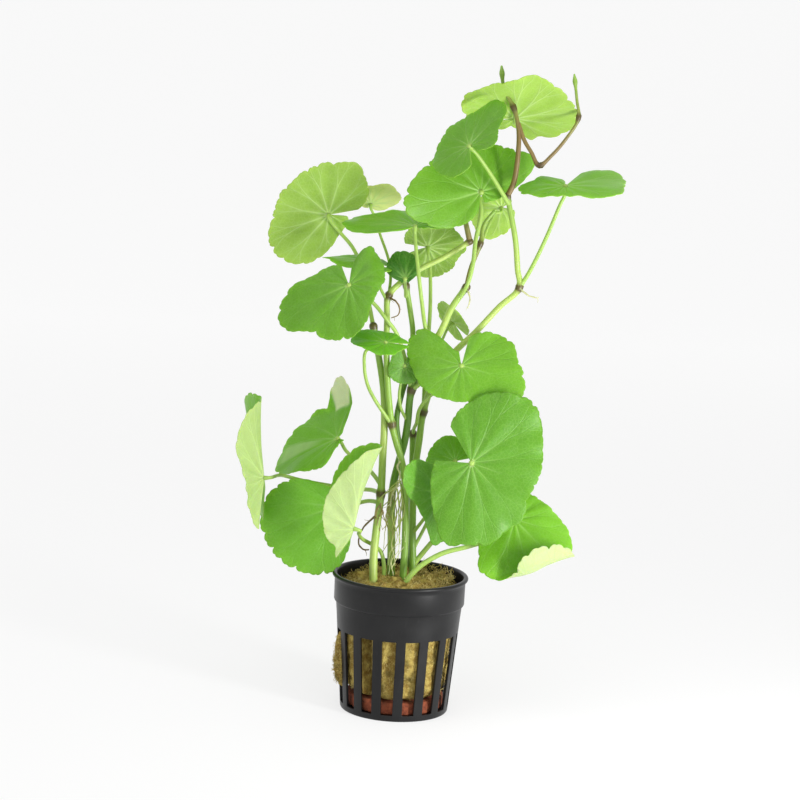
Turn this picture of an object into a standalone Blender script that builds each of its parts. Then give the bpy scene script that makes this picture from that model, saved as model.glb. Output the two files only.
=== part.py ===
"""Potted pennywort: round, long-stalked leaves on branching stems that stand in a rock wool plug, on a clay ring,
in a slotted net pot. Metres, +Z up. The origin is the centre of the pot's underside."""

import math

import bmesh
import bpy
import numpy as np
from mathutils import Matrix, Vector

MM = 0.001
GAP = 0.3

# Pot
POT_HEIGHT = 52.8
RIM_RADIUS = 26.0
BAND_RADIUS = 25.0
BAND_BOTTOM = 42.0
SHOULDER_RADIUS = 24.1
BASE_RADIUS = 20.65
POT_WALL = 1.0
FLOOR = 1.4
SLOT_COUNT = 16
SLOT_FROM = 2.4
SLOT_TO = 31.5
SLOT_TOP_WIDTH = 5.3
SLOT_FOOT_WIDTH = 4.4
SLOT_TURN = 15.0

# Clay ring on the pot's floor
RING_OUTER = 18.8
RING_INNER = 9.5
RING_HEIGHT = 5.4

# Rock wool plug
WOOL_FROM = 7.4
WOOL_TO = 50.4
SOCKET_DEPTH = 41.0

# Stems
SWELLING = 0.45
BUD_STEPS = (5.0, 3.2, 1.4)
BUD_RADII = (0.95, 0.8, 0.3)

# Leaves
BLADE_THICKNESS = 0.6
CRENATION = 0.03
CUP = -0.06
WAVE = 0.03
WAVE_COUNT = 5


def clear_scene():
    for obj in list(bpy.data.objects):
        bpy.data.objects.remove(obj, do_unlink=True)


def new_collection(name):
    collection = bpy.data.collections.new(name)
    bpy.context.scene.collection.children.link(collection)
    return collection


def material(name, colour, roughness):
    made = bpy.data.materials.new(name)
    made.use_nodes = True
    shader = made.node_tree.nodes["Principled BSDF"]
    shader.inputs["Base Color"].default_value = (*colour, 1.0)
    shader.inputs["Roughness"].default_value = roughness
    shader.inputs["Metallic"].default_value = 0.0
    made.diffuse_color = (*colour, 1.0)
    return made


def add(name, data, look=None, helper=False):
    """A new object of the mesh or curve, under the plant's empty."""
    obj = bpy.data.objects.new(name, data)
    (HELPERS if helper else PARTS).objects.link(obj)
    if helper:
        obj.hide_render = True
        obj.display_type = "WIRE"
    else:
        obj.parent = ROOT
        data.materials.append(look)
    return obj


def boolean(obj, operation, other):
    modifier = obj.modifiers.new(f"{operation.lower()} {other.name}"[:60], "BOOLEAN")
    modifier.operation = operation
    modifier.solver = "EXACT"
    modifier.object = other


def smooth_line(points, steps=12):
    """A Catmull-Rom line through the points, spaced by the square root of their distances."""
    points = [Vector(p) for p in points]
    padded = [2 * points[0] - points[1], *points, 2 * points[-1] - points[-2]]
    line = []
    for a, b, c, d in zip(padded, padded[1:], padded[2:], padded[3:]):
        t1 = (b - a).length ** 0.5
        t2 = t1 + (c - b).length ** 0.5
        t3 = t2 + (d - c).length ** 0.5
        for step in range(steps):
            t = t1 + (t2 - t1) * step / steps
            p = a.lerp(b, t / t1)
            q = b.lerp(c, (t - t1) / (t2 - t1))
            r = c.lerp(d, (t - t2) / (t3 - t2))
            line.append(p.lerp(q, t / t2).lerp(q.lerp(r, (t - t1) / (t3 - t1)), (t - t1) / (t2 - t1)))
    line.append(points[-1])
    return line


def stations(points, spacing, swellings=(), tail=()):
    """Points along the smooth line at the spacing, closer together at each swelling and at the tail's distances from
    the end, with the arc length of each and those of the swellings."""
    line = np.array(smooth_line(points))
    arc = np.concatenate([[0.0], np.cumsum(np.linalg.norm(np.diff(line, axis=0), axis=1))])
    knots = [arc[np.argmin(np.linalg.norm(line - np.array(points[i]), axis=1))] for i in swellings]
    at = list(np.linspace(0.0, arc[-1], max(2, round(arc[-1] / spacing)) + 1))
    for knot in knots:
        at = [s for s in at if abs(s - knot) > 3.4 or s in (0.0, arc[-1])]
        at += [s for s in (knot - 2.0, knot, knot + 2.0) if 1.0 < s < arc[-1] - 1.0]
    if tail:
        at = [s for s in at if s < arc[-1] - max(tail) - 1.0]
        at += [arc[-1] - distance for distance in (*tail, 0.0)]
    at = np.array(sorted(at))
    return np.stack([np.interp(at, arc, line[:, axis]) for axis in range(3)], axis=1), at, knots


def tube(name, path, radii, look=None, helper=False, grow=0.0):
    """A six-sided tube with filled caps along the path, made a mesh so that it can be cut or joined."""
    path = np.array(path, float)
    if grow:
        first = path[0] - path[1]
        last = path[-1] - path[-2]
        path[0] += first / np.linalg.norm(first) * grow
        path[-1] += last / np.linalg.norm(last) * grow
    curve = bpy.data.curves.new(name, "CURVE")
    curve.dimensions = "3D"
    curve.bevel_depth = MM
    curve.bevel_resolution = 1
    curve.use_fill_caps = True
    spline = curve.splines.new("POLY")
    spline.points.add(len(path) - 1)
    for point, place, radius in zip(spline.points, path, radii):
        point.co = (*(place * MM), 1.0)
        point.radius = radius + grow
    drawn = bpy.data.objects.new(name + "_line", curve)
    PARTS.objects.link(drawn)
    bpy.context.view_layer.update()
    graph = bpy.context.evaluated_depsgraph_get()
    mesh = bpy.data.meshes.new_from_object(drawn.evaluated_get(graph))
    mesh.name = name
    place = drawn.matrix_world.copy()
    bpy.data.objects.remove(drawn, do_unlink=True)
    bpy.data.curves.remove(curve)
    shape = bmesh.new()
    shape.from_mesh(mesh)
    bmesh.ops.remove_doubles(shape, verts=shape.verts, dist=0.00001)
    bmesh.ops.recalc_face_normals(shape, faces=shape.faces)
    shape.to_mesh(mesh)
    shape.free()
    mesh.materials.clear()
    mesh.shade_smooth()
    obj = add(name, mesh, look, helper)
    obj.matrix_world = place
    return obj


def stem(name, points, radii, swellings=(), look=None, spacing=11.0, side_of=None, bud=False):
    """A stem with a swelling at each joint and perhaps a bud at its tip, and the wider copy of it that cuts what
    stands against it."""
    path, arc, knots = stations(points, spacing, swellings, BUD_STEPS if bud else ())
    radius = np.interp(arc, [0.0, arc[-1]], radii)
    for knot in knots:
        radius = radius + SWELLING * np.exp(-(((arc - knot) / 1.7) ** 2))
    if bud:
        radius[-3:] = BUD_RADII
    made = tube(name, path, radius, look)
    CLEARANCE[name] = tube(name + "_clearance", path, radius, helper=True, grow=GAP)
    if side_of:
        boolean(made, "DIFFERENCE", CLEARANCE[side_of])


def leaf_frame(turn, lean, tip):
    """Columns: the midrib's direction, the side direction and the upper normal. turn carries the upper normal from
    the front towards the direction lean, and tip is the midrib's direction; lean and tip are angles in the XZ plane
    from +X."""
    turn, lean, tip = (math.radians(angle) for angle in (turn, lean, tip))
    normal = Vector((math.sin(turn) * math.cos(lean), -math.cos(turn), math.sin(turn) * math.sin(lean)))
    ahead = Vector((math.cos(tip), 0.0, math.sin(tip)))
    ahead = (ahead - normal * ahead.dot(normal)).normalized()
    side = normal.cross(ahead)
    return Matrix((ahead, side, normal)).transposed()


def blade_radius(reach, lobes, t):
    """A smooth radius through evenly spaced values, for t from -1 to 1, with a scalloped edge."""
    last = len(reach) - 1
    u = (t + 1.0) / 2.0 * last
    i = min(int(u), last - 1)
    f = u - i
    values = [2 * reach[0] - reach[1], *reach, 2 * reach[-1] - reach[-2]]
    a, b, c, d = values[i : i + 4]
    radius = 0.5 * (2 * b + (c - a) * f + (2 * a - 5 * b + 4 * c - d) * f**2 + (3 * b - a - 3 * c + d) * f**3)
    return radius * (1.0 - CRENATION * (1.0 - abs(math.cos(t * lobes * math.pi / 2)) ** 0.5))


def fold(point, direction, offset, radius, angle):
    """The point carried round a bend whose line lies at the offset in the direction; a bend with a positive angle
    rises to the upper side."""
    along = Vector((math.cos(math.radians(direction)), math.sin(math.radians(direction)), 0.0))
    past = point.dot(along) - offset
    if past <= 0.0:
        return point
    sign = math.copysign(1.0, angle)
    total = math.radians(abs(angle))
    turned = min(past / radius, total)
    rest = max(past - radius * total, 0.0)
    height = point.z * sign
    ahead = radius * math.sin(turned) + rest * math.cos(turned) - height * math.sin(turned)
    up = radius * (1.0 - math.cos(turned)) + rest * math.sin(turned) + height * math.cos(turned)
    return point + along * (ahead - past) + Vector((0.0, 0.0, (up - height) * sign))


def blade_mesh(name, reach, sinus, bends, rings, spokes):
    """A round blade as an open fan: a grid bent round from one edge of the sinus to the other."""
    mean = sum(reach) / len(reach)
    shape = bmesh.new()
    bmesh.ops.create_grid(shape, x_segments=len(rings) - 1, y_segments=spokes, size=1.0)
    for vertex in shape.verts:
        ring = round((vertex.co.x + 1.0) / 2.0 * (len(rings) - 1))
        t = vertex.co.y
        angle = math.radians(180.0 - sinus) * t
        radius = rings[ring] * blade_radius(reach, spokes // 2, t)
        q = radius / mean
        height = mean * q**2 * (CUP + WAVE * math.sin(WAVE_COUNT * angle))
        point = Vector((radius * math.cos(angle), radius * math.sin(angle), height))
        for bend in bends:
            point = fold(point, *bend)
        vertex.co = point * MM
    bmesh.ops.remove_doubles(shape, verts=shape.verts, dist=0.000001)
    mesh = bpy.data.meshes.new(name)
    shape.to_mesh(mesh)
    shape.free()
    mesh.shade_smooth()
    return mesh


def leaf(name, at, facing, reach, stalk, foot=None, sinus=20, bends=(), rings=(0, 0.6, 1), spokes=16,
         stalk_radii=(0.65, 0.85), stalk_spacing=15.0, look=None):
    """A blade with its stalk as one solid. The stalk leaves the blade's underside and ends at the stem named by
    foot, shaped to it, or in the wool."""
    frame = leaf_frame(*facing)
    centre = Vector(at)
    normal = frame.col[2]
    made = add(name, blade_mesh(name, reach, sinus, bends, rings, spokes), look or LEAF)
    made.matrix_world = Matrix.Translation(centre * MM) @ frame.to_4x4()
    thicken = made.modifiers.new("thickness", "SOLIDIFY")
    thicken.thickness = BLADE_THICKNESS * MM
    thicken.offset = 0.0
    path, arc, _ = stations([centre, centre - 2.5 * normal, *stalk], stalk_spacing)
    radii = np.interp(arc, [0.0, arc[-1]], stalk_radii)
    boolean(made, "UNION", tube(name + "_stalk", path, radii, helper=True))
    if foot:
        boolean(made, "DIFFERENCE", CLEARANCE[foot])
    else:
        CLEARANCE[name] = tube(name + "_clearance", path, radii, helper=True, grow=GAP)


def turned(name, profile, steps, look):
    """A solid of revolution about Z of a profile that runs down its outer side."""
    mesh = bpy.data.meshes.new(name)
    points = [(r * MM, 0.0, z * MM) for r, z in profile]
    closed = profile[0][0] > 0.0
    edges = [(i, i + 1) for i in range(len(points) - 1)]
    if closed:
        edges.append((len(points) - 1, 0))
    mesh.from_pydata(points, edges, [])
    obj = add(name, mesh, look)
    screw = obj.modifiers.new("turn", "SCREW")
    screw.angle = math.tau
    screw.steps = steps
    screw.render_steps = steps
    screw.use_merge_vertices = True
    screw.merge_threshold = 0.00001
    screw.use_smooth_shade = True
    return obj


def wall_radius(z):
    """The pot's outer radius below its shoulder."""
    return BASE_RADIUS + (SHOULDER_RADIUS - BASE_RADIUS) * z / BAND_BOTTOM


def slot_cutters():
    """One wedge for each slot, narrower at the foot, reaching through the wall."""
    shape = bmesh.new()
    for count in range(SLOT_COUNT):
        azimuth = math.radians(SLOT_TURN + 360.0 / SLOT_COUNT * count)
        outward = Vector((math.sin(azimuth), -math.cos(azimuth), 0.0))
        across = Vector((math.cos(azimuth), math.sin(azimuth), 0.0))
        made = bmesh.ops.create_cube(shape, size=1.0)["verts"]
        for vertex in made:
            top = vertex.co.z > 0.0
            width = SLOT_TOP_WIDTH if top else SLOT_FOOT_WIDTH
            z = SLOT_TO if top else SLOT_FROM
            radius = wall_radius(z) - POT_WALL / 2 + vertex.co.y * 5.0
            vertex.co = (outward * radius + across * vertex.co.x * width + Vector((0.0, 0.0, z))) * MM
    bmesh.ops.recalc_face_normals(shape, faces=shape.faces)
    mesh = bpy.data.meshes.new("slots")
    shape.to_mesh(mesh)
    shape.free()
    return add("slots", mesh, helper=True)


def build_pot():
    inner_base = BASE_RADIUS - POT_WALL
    inner_shoulder = SHOULDER_RADIUS - POT_WALL
    profile = [
        (0.0, FLOOR),
        (inner_base, FLOOR),
        (inner_shoulder, BAND_BOTTOM - 0.6),
        (BAND_RADIUS - 1.1, BAND_BOTTOM + 0.6),
        (BAND_RADIUS - 0.8, POT_HEIGHT - 0.4),
        (BAND_RADIUS - 0.4, POT_HEIGHT),
        (RIM_RADIUS - 0.4, POT_HEIGHT),
        (RIM_RADIUS, POT_HEIGHT - 0.6),
        (RIM_RADIUS - 0.1, POT_HEIGHT - 1.4),
        (BAND_RADIUS + 0.2, POT_HEIGHT - 1.8),
        (BAND_RADIUS - 0.1, BAND_BOTTOM),
        (SHOULDER_RADIUS, BAND_BOTTOM - 0.4),
        (BASE_RADIUS + 0.1, 1.0),
        (BASE_RADIUS - 0.35, 0.0),
        (0.0, 0.0),
    ]
    pot = turned("pot", profile, 32, BLACK_PLASTIC)
    boolean(pot, "DIFFERENCE", slot_cutters())


def build_clay_ring():
    low = FLOOR + GAP
    high = low + RING_HEIGHT
    profile = [
        (RING_INNER, low),
        (RING_INNER, high - 0.7),
        (RING_INNER + 0.7, high),
        (RING_OUTER - 0.9, high),
        (RING_OUTER, high - 0.9),
        (RING_OUTER, low),
    ]
    turned("clay_ring", profile, 20, CLAY)


def build_rockwool(sockets):
    """A lumpy plug with an uneven top that bulges out of the slot on its left, with a socket for each stem."""
    middle = (WOOL_FROM + WOOL_TO) / 2
    half = (WOOL_TO - WOOL_FROM) / 2
    shape = bmesh.new()
    bmesh.ops.create_uvsphere(shape, u_segments=18, v_segments=8, radius=1.0)
    for vertex in shape.verts:
        p = vertex.co
        level = math.copysign(abs(p.z) ** 0.45, p.z)
        spread = max(1.0 - abs(p.z) ** 5.0, 0.0) ** 0.30
        azimuth = math.atan2(p.y, p.x)
        z = middle + half * level
        inside = wall_radius(min(z, BAND_BOTTOM)) - POT_WALL - 0.7
        lumps = 1.0 - 0.018 * (1.0 + math.sin(5.0 * azimuth + 0.09 * z))
        radius = inside * spread * lumps
        if p.z > 0.5:
            rise = 1.3 * math.cos(azimuth - 0.6) * math.hypot(p.x, p.y)
            z += rise + 0.7 * math.sin(3.0 * azimuth + 1.0) * math.hypot(p.x, p.y)
        vertex.co = Vector((radius * math.cos(azimuth), radius * math.sin(azimuth), z)) * MM
    mesh = bpy.data.meshes.new("rockwool")
    shape.to_mesh(mesh)
    shape.free()
    mesh.shade_smooth()
    wool = add("rockwool", mesh, WOOL)
    bulge_mesh = bpy.data.meshes.new("wool_bulge")
    shape = bmesh.new()
    bmesh.ops.create_uvsphere(shape, u_segments=8, v_segments=6, radius=1.0)
    azimuth = math.radians(-75.0)
    turn = Matrix.Rotation(azimuth, 4, "Z")
    place = Matrix.Translation(Vector((0.0, -20.6, 20.0)) * MM)
    size = Matrix.Diagonal((1.85 * MM, 4.3 * MM, 12.0 * MM, 1.0))
    bmesh.ops.transform(shape, matrix=turn @ place @ size, verts=shape.verts)
    shape.to_mesh(bulge_mesh)
    shape.free()
    boolean(wool, "UNION", add("wool_bulge", bulge_mesh, helper=True))
    for name in sockets:
        boolean(wool, "DIFFERENCE", CLEARANCE[name])


clear_scene()
PARTS = new_collection("pennywort")
HELPERS = new_collection("helpers")
ROOT = bpy.data.objects.new("plant", None)
PARTS.objects.link(ROOT)
CLEARANCE = {}

BLACK_PLASTIC = material("black_plastic", (0.012, 0.012, 0.013), 0.45)
CLAY = material("clay", (0.36, 0.085, 0.035), 0.85)
WOOL = material("rockwool", (0.29, 0.2, 0.06), 0.95)
LEAF = material("leaf", (0.1, 0.33, 0.02), 0.42)
PALE_LEAF = material("pale_leaf", (0.33, 0.52, 0.1), 0.5)
STEM = material("stem", (0.16, 0.31, 0.04), 0.45)
BROWN_STEM = material("brown_stem", (0.2, 0.13, 0.05), 0.5)
ROOT_SKIN = material("root_skin", (0.42, 0.4, 0.2), 0.6)

build_pot()
build_clay_ring()

# Stems, from the wool upwards. Each stops at its last fork, where the shoots go on.
FOOT = SOCKET_DEPTH

stem("stem_left", [(-9.5, -8, FOOT), (-10.5, -7, 59), (-10, -6, 70.5), (-9, -4.5, 84.5), (-9, -3.5, 97), (-9, -2, 110),
                   (-10, -2, 123.5), (-12.5, -2, 136.5), (-15, -2, 147.5)],
     (1.6, 1.2), swellings=(3,), look=STEM)
stem("stem_centre", [(0.8, -4, FOOT), (1.1, -4, 66), (0.4, -4, 82), (-0.8, -4, 93), (-2.2, -4, 98.5),
                     (-4.3, -4, 104.4), (-6.2, -4, 111), (-8, -5, 122), (-9.5, -5, 137.5), (-10, -4, 150.5),
                     (-10, -3, 159), (-6, -1, 164), (0.5, 1, 169), (10.5, 3, 174.5), (19.5, 5, 180.5)],
     (1.4, 1.0), swellings=(6, 10), look=STEM)
stem("stem_middle", [(-3.3, 1, FOOT), (-4.1, 1, 65), (-4.8, 1, 79), (-4.5, 1, 87), (-2.8, 1, 96), (-1.2, 1, 103),
                     (-0.3, 1, 110.5), (0.5, 0, 123.5), (4, 0, 134.5), (10.5, -1, 147), (14, -2, 156),
                     (19, -2, 164)],
     (1.6, 1.2), swellings=(7,), look=STEM)
stem("stem_right", [(5.5, 4, FOOT), (3.5, 4, 73), (3.5, 4, 92.5), (4.5, 4, 104), (5.5, 4, 115), (9.5, 3, 128.5),
                    (16, 3, 138.5), (23.5, 3, 146.5), (32, 4, 156.5), (39, 4, 164), (38, 4, 171), (36.5, 3, 182),
                    (32.5, 2, 198.5)],
     (1.5, 1.0), swellings=(4, 9), look=STEM)
stem("stem_rear", [(4, 8.5, FOOT), (3.6, 8.5, 63), (2.6, 8.5, 80), (2.3, 7.5, 95.5), (2, 6.6, 106)], (1.3, 1.2),
     swellings=(1,), look=STEM)
stem("stem_inner", [(-1.9, 1, 100), (-3.4, -0.5, 104.5), (-4.5, 0, 112), (-3.5, 2, 119.5), (-1, 4.5, 130.5),
                    (0, 4, 144), (-1.5, 3, 153.5), (-3.5, 2, 163)],
     (1.1, 1.0), look=STEM, side_of="stem_middle")
stem("shoot_left", [(19.5, 5, 180.5), (17, 4, 190.5), (17, 3, 196)], (1.1, 0.8), look=BROWN_STEM, spacing=6.0,
     side_of="stem_centre")
stem("shoot_middle", [(19, -2, 164), (20.5, 2.5, 171), (23.5, 4.5, 180), (24.5, 5.5, 187), (28, 6.5, 192)], (0.95, 0.7),
     swellings=(2,), look=BROWN_STEM, spacing=7.0, side_of="stem_middle")
stem("shoot_right", [(32.5, 2, 198.5), (34.5, 1, 203.5), (35.5, 0, 216), (35, 0, 224), (33, 0, 231), (30, 0, 236),
                     (28.5, 0, 239.5), (27.5, 0, 246.5)],
     (1.1, 0.6), look=BROWN_STEM, spacing=7.0, side_of="stem_right", bud=True)
stem("shoot_side", [(35, 0, 225.5), (37.5, 0, 219.5), (40.5, 0, 215), (43.5, 0, 210.5), (48, 0, 214.5), (53, 0, 221),
                    (57, 0, 228.5), (56, 0, 235.5), (54.5, 0, 245)],
     (0.8, 0.5), look=BROWN_STEM, spacing=4.5, side_of="shoot_right", bud=True)

# Roots that hang from the joints
stem("root_right", [(38.8, 3.4, 164.4), (40.6, 1.6, 162.9), (43.2, 1.4, 161.4), (46.2, 1.4, 161)], (0.5, 0.3),
     look=ROOT_SKIN, spacing=3.0, side_of="stem_right")
stem("root_middle", [(19, -2.4, 163.6), (20.4, -4.2, 160.8), (20.3, -4.4, 158.4), (19.9, -4.4, 156.4)], (0.5, 0.3),
     look=ROOT_SKIN, spacing=3.0, side_of="stem_middle")
stem("root_centre", [(-9.8, -3.6, 158.8), (-7.1, -6.2, 157.9), (-5.5, -6.6, 155.3), (-6, -6.6, 152.7),
                     (-8.4, -6.6, 151.5)],
     (0.5, 0.3), look=ROOT_SKIN, spacing=3.0, side_of="stem_centre")
stem("root_hanging", [(-1.9, -4.4, 97.6), (-3.2, -6.6, 95.4), (-2.1, -6.8, 92), (-2.8, -6.8, 88), (-4.6, -6.8, 85),
                      (-5.2, -6.8, 80)],
     (0.5, 0.3), look=ROOT_SKIN, spacing=3.6, side_of="stem_centre")
stem("root_loop", [(-10.2, -6.3, 76.4), (-12.6, -4.6, 73.6), (-15, -2.8, 70.4), (-16.3, -2.4, 67), (-16.3, -2.4, 63.6),
                   (-14.8, -3.2, 62.2), (-12.6, -4.4, 62.4)],
     (0.5, 0.35), look=ROOT_SKIN, spacing=3.2, side_of="stem_left")

# Leaves, from the top down: the blade's centre, the way it faces, its radii from one side of the sinus round the tip
# to the other, and the points of its stalk.
leaf("leaf_top_right", (34, 10, 227), (132, 90, 15), (16, 20.5, 23.5, 22.5, 23.5, 25.5, 28, 26, 25, 25, 24,
     22.5, 18.5, 13.5, 13, 7, 4.5, 5, 8, 13, 15),
     [(33.5, 5, 229.5), (33, 0, 231.5)], "shoot_right", sinus=6, spokes=20, stalk_radii=(0.6, 0.65), look=PALE_LEAF)
leaf("leaf_top_left", (17, -14, 217), (50, 130, 130), (5, 11, 12.5, 22, 17.5, 16, 15, 16, 15, 13, 9),
     [(19, -12, 215), (25, -7, 207.5), (33.2, 2.1, 195.5)], "stem_right", sinus=22)
leaf("leaf_upper_middle", (22.5, 0, 199.5), (35, 30, 90), (4, 4.5, 5, 7, 10, 17, 30.5, 25.5, 22, 20, 19, 19,
     19.5, 21.5, 24.5, 29.5, 33.5, 27, 20, 13.5, 7),
     [(23, 0.5, 193), (21.5, -1.5, 181.5), (20.8, -3.8, 172), (19.2, -4.4, 165), (16.8, -2.4, 160.2)], "stem_middle",
     sinus=15, spokes=18, stalk_radii=(0.85, 0.75), stalk_spacing=7.0)
leaf("leaf_upper_rear", (31, 16, 193), (140, 90, 200), (5, 6, 7, 9, 11.5, 14, 17, 16.5, 14, 13, 12, 12, 12.5,
     10.5, 9, 9, 8.5, 8, 7, 6, 5),
     [(28.5, 12.5, 191), (26, 9.5, 185.5), (23.6, 4.5, 179.5)], "shoot_middle", sinus=25, rings=(0, 1), spokes=14,
     stalk_radii=(0.5, 0.6), look=PALE_LEAF)
leaf("leaf_upper_right", (53.5, -4, 203.5), (70, 98, -88), (5, 9, 13.5, 15, 18.5, 17.5, 15, 13, 10.5, 8.5, 8,
     8.5, 9, 10.5, 16, 21.5, 22, 23, 25.5, 23.5, 13.5),
     [(52, -3, 196.5), (47.5, 0, 183), (42.5, 3, 170.5), (39, 4, 164)], "stem_right", sinus=14, spokes=20)
leaf("leaf_upper_left", (-34, 9.5, 187.4), (158, 90, 188), (7, 8, 8, 8.5, 10, 14, 20, 25, 26, 25, 22, 20.5,
     20.5, 20, 21, 22, 23, 25.5, 21.5, 17.5, 11.5),
     [(-31, 10.5, 182.4), (-24.5, 10, 175.5), (-20.5, 7.2, 168), (-17.5, 1.5, 157), (-14.8, -2, 146.5)], "stem_left",
     sinus=8, rings=(0, 0.35, 0.6, 1), spokes=20, look=PALE_LEAF)
leaf("leaf_left_rear", (-18.5, 18, 191.4), (150, 90, 85), (2, 3, 5, 8, 10, 9.5, 12.5, 12.5, 7, 4, 2),
     [(-17.5, 16.5, 188.4), (-14.5, 14.5, 180.8), (-10.5, 9, 171.2), (-9.5, 3, 165), (-10, -3, 158.5)],
     "stem_centre", sinus=25, rings=(0, 0.35, 0.65, 1), spokes=14, stalk_radii=(0.5, 0.6), look=PALE_LEAF)
leaf("leaf_level", (-1.3, -6, 185.9), (68, 90, 90), (2.5, 3, 4, 6.5, 12.5, 16.5, 15.5, 14, 13.5, 14, 14, 14.5,
     16, 18.5, 23.5, 27.5, 28, 26.5, 21, 9, 3),
     [(-0.5, -6.5, 177.5), (1.4, -9, 165.5), (2.8, -6, 157), (3.9, -1.6, 150.5), (4.9, -0.7, 146), (6.6, -1.7, 134),
     (4.2, -2, 127.5), (1, -0.5, 124.2)], "stem_middle", sinus=50, rings=(0, 0.4, 0.75, 1), spokes=20,
     stalk_spacing=7.0)
leaf("leaf_middle_rear", (4, 18, 176.4), (138, 90, 10), (9, 12, 14, 15, 15, 15, 13, 15, 17, 14, 9),
     [(5, 16.5, 170.4), (6, 13, 156.6), (6, 11, 146), (5.5, 9.5, 131), (5.5, 4, 114)], "stem_right", sinus=20,
     look=PALE_LEAF)
leaf("leaf_left_sliver", (-16.5, -1.8, 171.2), (80, 80, 190), (7, 9, 10, 10, 12, 19, 15, 9, 8, 8, 8),
     [(-15, -2.8, 166.8), (-13, -3.8, 162), (-10, -3.4, 157)], "stem_centre", sinus=20, rings=(0, 1), spokes=14,
     stalk_radii=(0.5, 0.6))
leaf("leaf_young", (-4, -5.6, 166.1), (35, 90, 95), (2, 2, 3, 6, 11, 13.5, 11, 8, 3.5, 2, 2),
     [(-3.3, 2, 159)], "stem_inner", sinus=35, rings=(0, 1), spokes=12, stalk_radii=(0.6, 0.7))
leaf("leaf_left", (-24.5, -16, 164), (30, 120, -75), (8.5, 11, 12.5, 15.5, 24, 29.5, 29, 23, 22, 21, 19.5, 16.5,
     12.5, 11.5, 11.5, 13, 15.5, 17, 18, 16.5, 8),
     [(-22, -12, 161), (-15.5, -8, 157), (-9.8, -7.3, 150.5), (-6.2, -4.4, 145.5), (-2.2, -2.6, 135), (0.4, 0, 124)],
     "stem_middle", sinus=14, bends=((90, 7, 6, -50),), rings=(0, 0.3, 0.6, 1), spokes=20)
leaf("leaf_right_small", (15, 13, 148.5), (120, 45, 135), (8.5, 9, 9, 8, 7, 6, 6.5, 7, 6.5, 7, 8.5, 10, 11.5,
     14.5, 13, 10, 9.5, 10, 9, 8, 7.5),
     [(10.5, 9, 140.5), (5, 5, 131), (0.5, 0, 122.5)], "stem_middle", sinus=15, rings=(0, 1), spokes=14,
     stalk_radii=(0.5, 0.6), look=PALE_LEAF)
leaf("leaf_middle_small", (-10, -17.5, 143.5), (62, 90, 180), (9, 7, 7.5, 9, 13.5, 12.5, 8, 7.5, 7.5, 7, 9),
     [(-17, -11, 139.5), (-17.5, -8, 132.5), (-16, -7.5, 126), (-13, -7.5, 120.5), (-6, -4, 110.5)], "stem_centre",
     sinus=6, spokes=14, stalk_radii=(0.55, 0.75))
leaf("leaf_right", (18.6, -9, 135.2), (25, 90, -90), (5.5, 8, 20, 22.5, 21, 18.5, 17.5, 16.5, 15, 14, 14, 14.5,
     16, 19.5, 25.5, 24, 21.5, 22, 19.5, 16, 12),
     [(17, -7, 131), (12.3, -4.6, 126.3), (6.6, -3, 121.3), (3.8, -1.2, 116.4), (3.1, 1.5, 111), (2.2, 4.6, 108),
     (2, 6.6, 104.5)], "stem_rear", sinus=12, spokes=20, stalk_radii=(0.65, 0.7), stalk_spacing=6.0)
leaf("leaf_shaded", (-2.5, -5.2, 133.6), (20, 0, -90), (6, 6.5, 6, 7, 7, 7, 7.5, 7.5, 7.5, 6.5, 5),
     [(-3.5, -2.5, 128), (-4, -2, 121.5), (-3, -1, 116.5), (0, 1, 111)], "stem_middle", sinus=15, rings=(0, 1),
     spokes=12, stalk_radii=(0.5, 0.6))
leaf("leaf_left_raised", (-26.5, 4.5, 102.8), (58, 130, 200), (3, 8, 27, 28, 20.5, 23, 23.5, 28, 31.5, 32.5,
     26.5, 19.5, 16, 13.5, 8, 4.5, 3.5, 3, 3, 3, 3),
     [(-23, 4, 98.3), (-13.5, -0.5, 92), (-9, -4.4, 87.5)], "stem_left", sinus=40, bends=((-105, 17, 2, 35),),
     rings=(0, 0.45, 0.75, 1), spokes=20)
leaf("leaf_front", (24, -22, 101), (12, 90, -30), (13.5, 15, 17, 20, 25, 31.5, 30.5, 31, 28.5, 28.5, 25, 25.5,
     26.5, 27.5, 30, 32.5, 30.5, 27.5, 23.5, 20, 16),
     [(24, -16, 93), (23, -8, 84), (21, -1, 76), (12.5, 4, 66), (4.7, 4, 55.5)], "stem_right", sinus=28, spokes=18,
     stalk_radii=(0.75, 1.0))
leaf("leaf_behind_front", (18.5, -1, 97.5), (30, 90, 170), (8, 9, 10, 11, 11, 11, 12, 12, 11, 9, 8),
     [(16.5, 1, 92), (13, 4, 82), (8.5, 5, 70.5), (4, 4, 60.5)], "stem_right", sinus=25, rings=(0, 1), spokes=14,
     stalk_radii=(0.55, 0.7))
leaf("leaf_low_turned", (13.5, -9, 86.5), (45, 0, 200), (6, 7, 8, 10.5, 13, 18, 21.5, 21, 16.5, 13, 12, 12, 13,
     15, 20.5, 20, 17, 12.5, 8, 7, 6),
     [(11.5, -5, 82), (8, -1, 75), (3.7, 4, 67.5)], "stem_right", sinus=25, spokes=20, stalk_radii=(0.55, 0.7))
leaf("leaf_far_left", (-53.4, -7.5, 88.5), (100, 188, 104), (20, 14, 12, 15, 27, 31, 33, 24, 17, 19, 20),
     [(-49.6, -4, 88.6), (-48.6, 1.5, 88), (-46.5, 7, 87), (-40, 10, 85), (-30, 10.5, 83.5), (-20, 8, 83),
      (-13, 2, 84.2), (-9.2, -4.5, 84.5)], "stem_left", sinus=25,
     bends=((90, 0, 4, 38), (-90, 0, 4, 24)), rings=(0, 0.2, 0.6, 1), look=PALE_LEAF, stalk_spacing=6.0)
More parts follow.
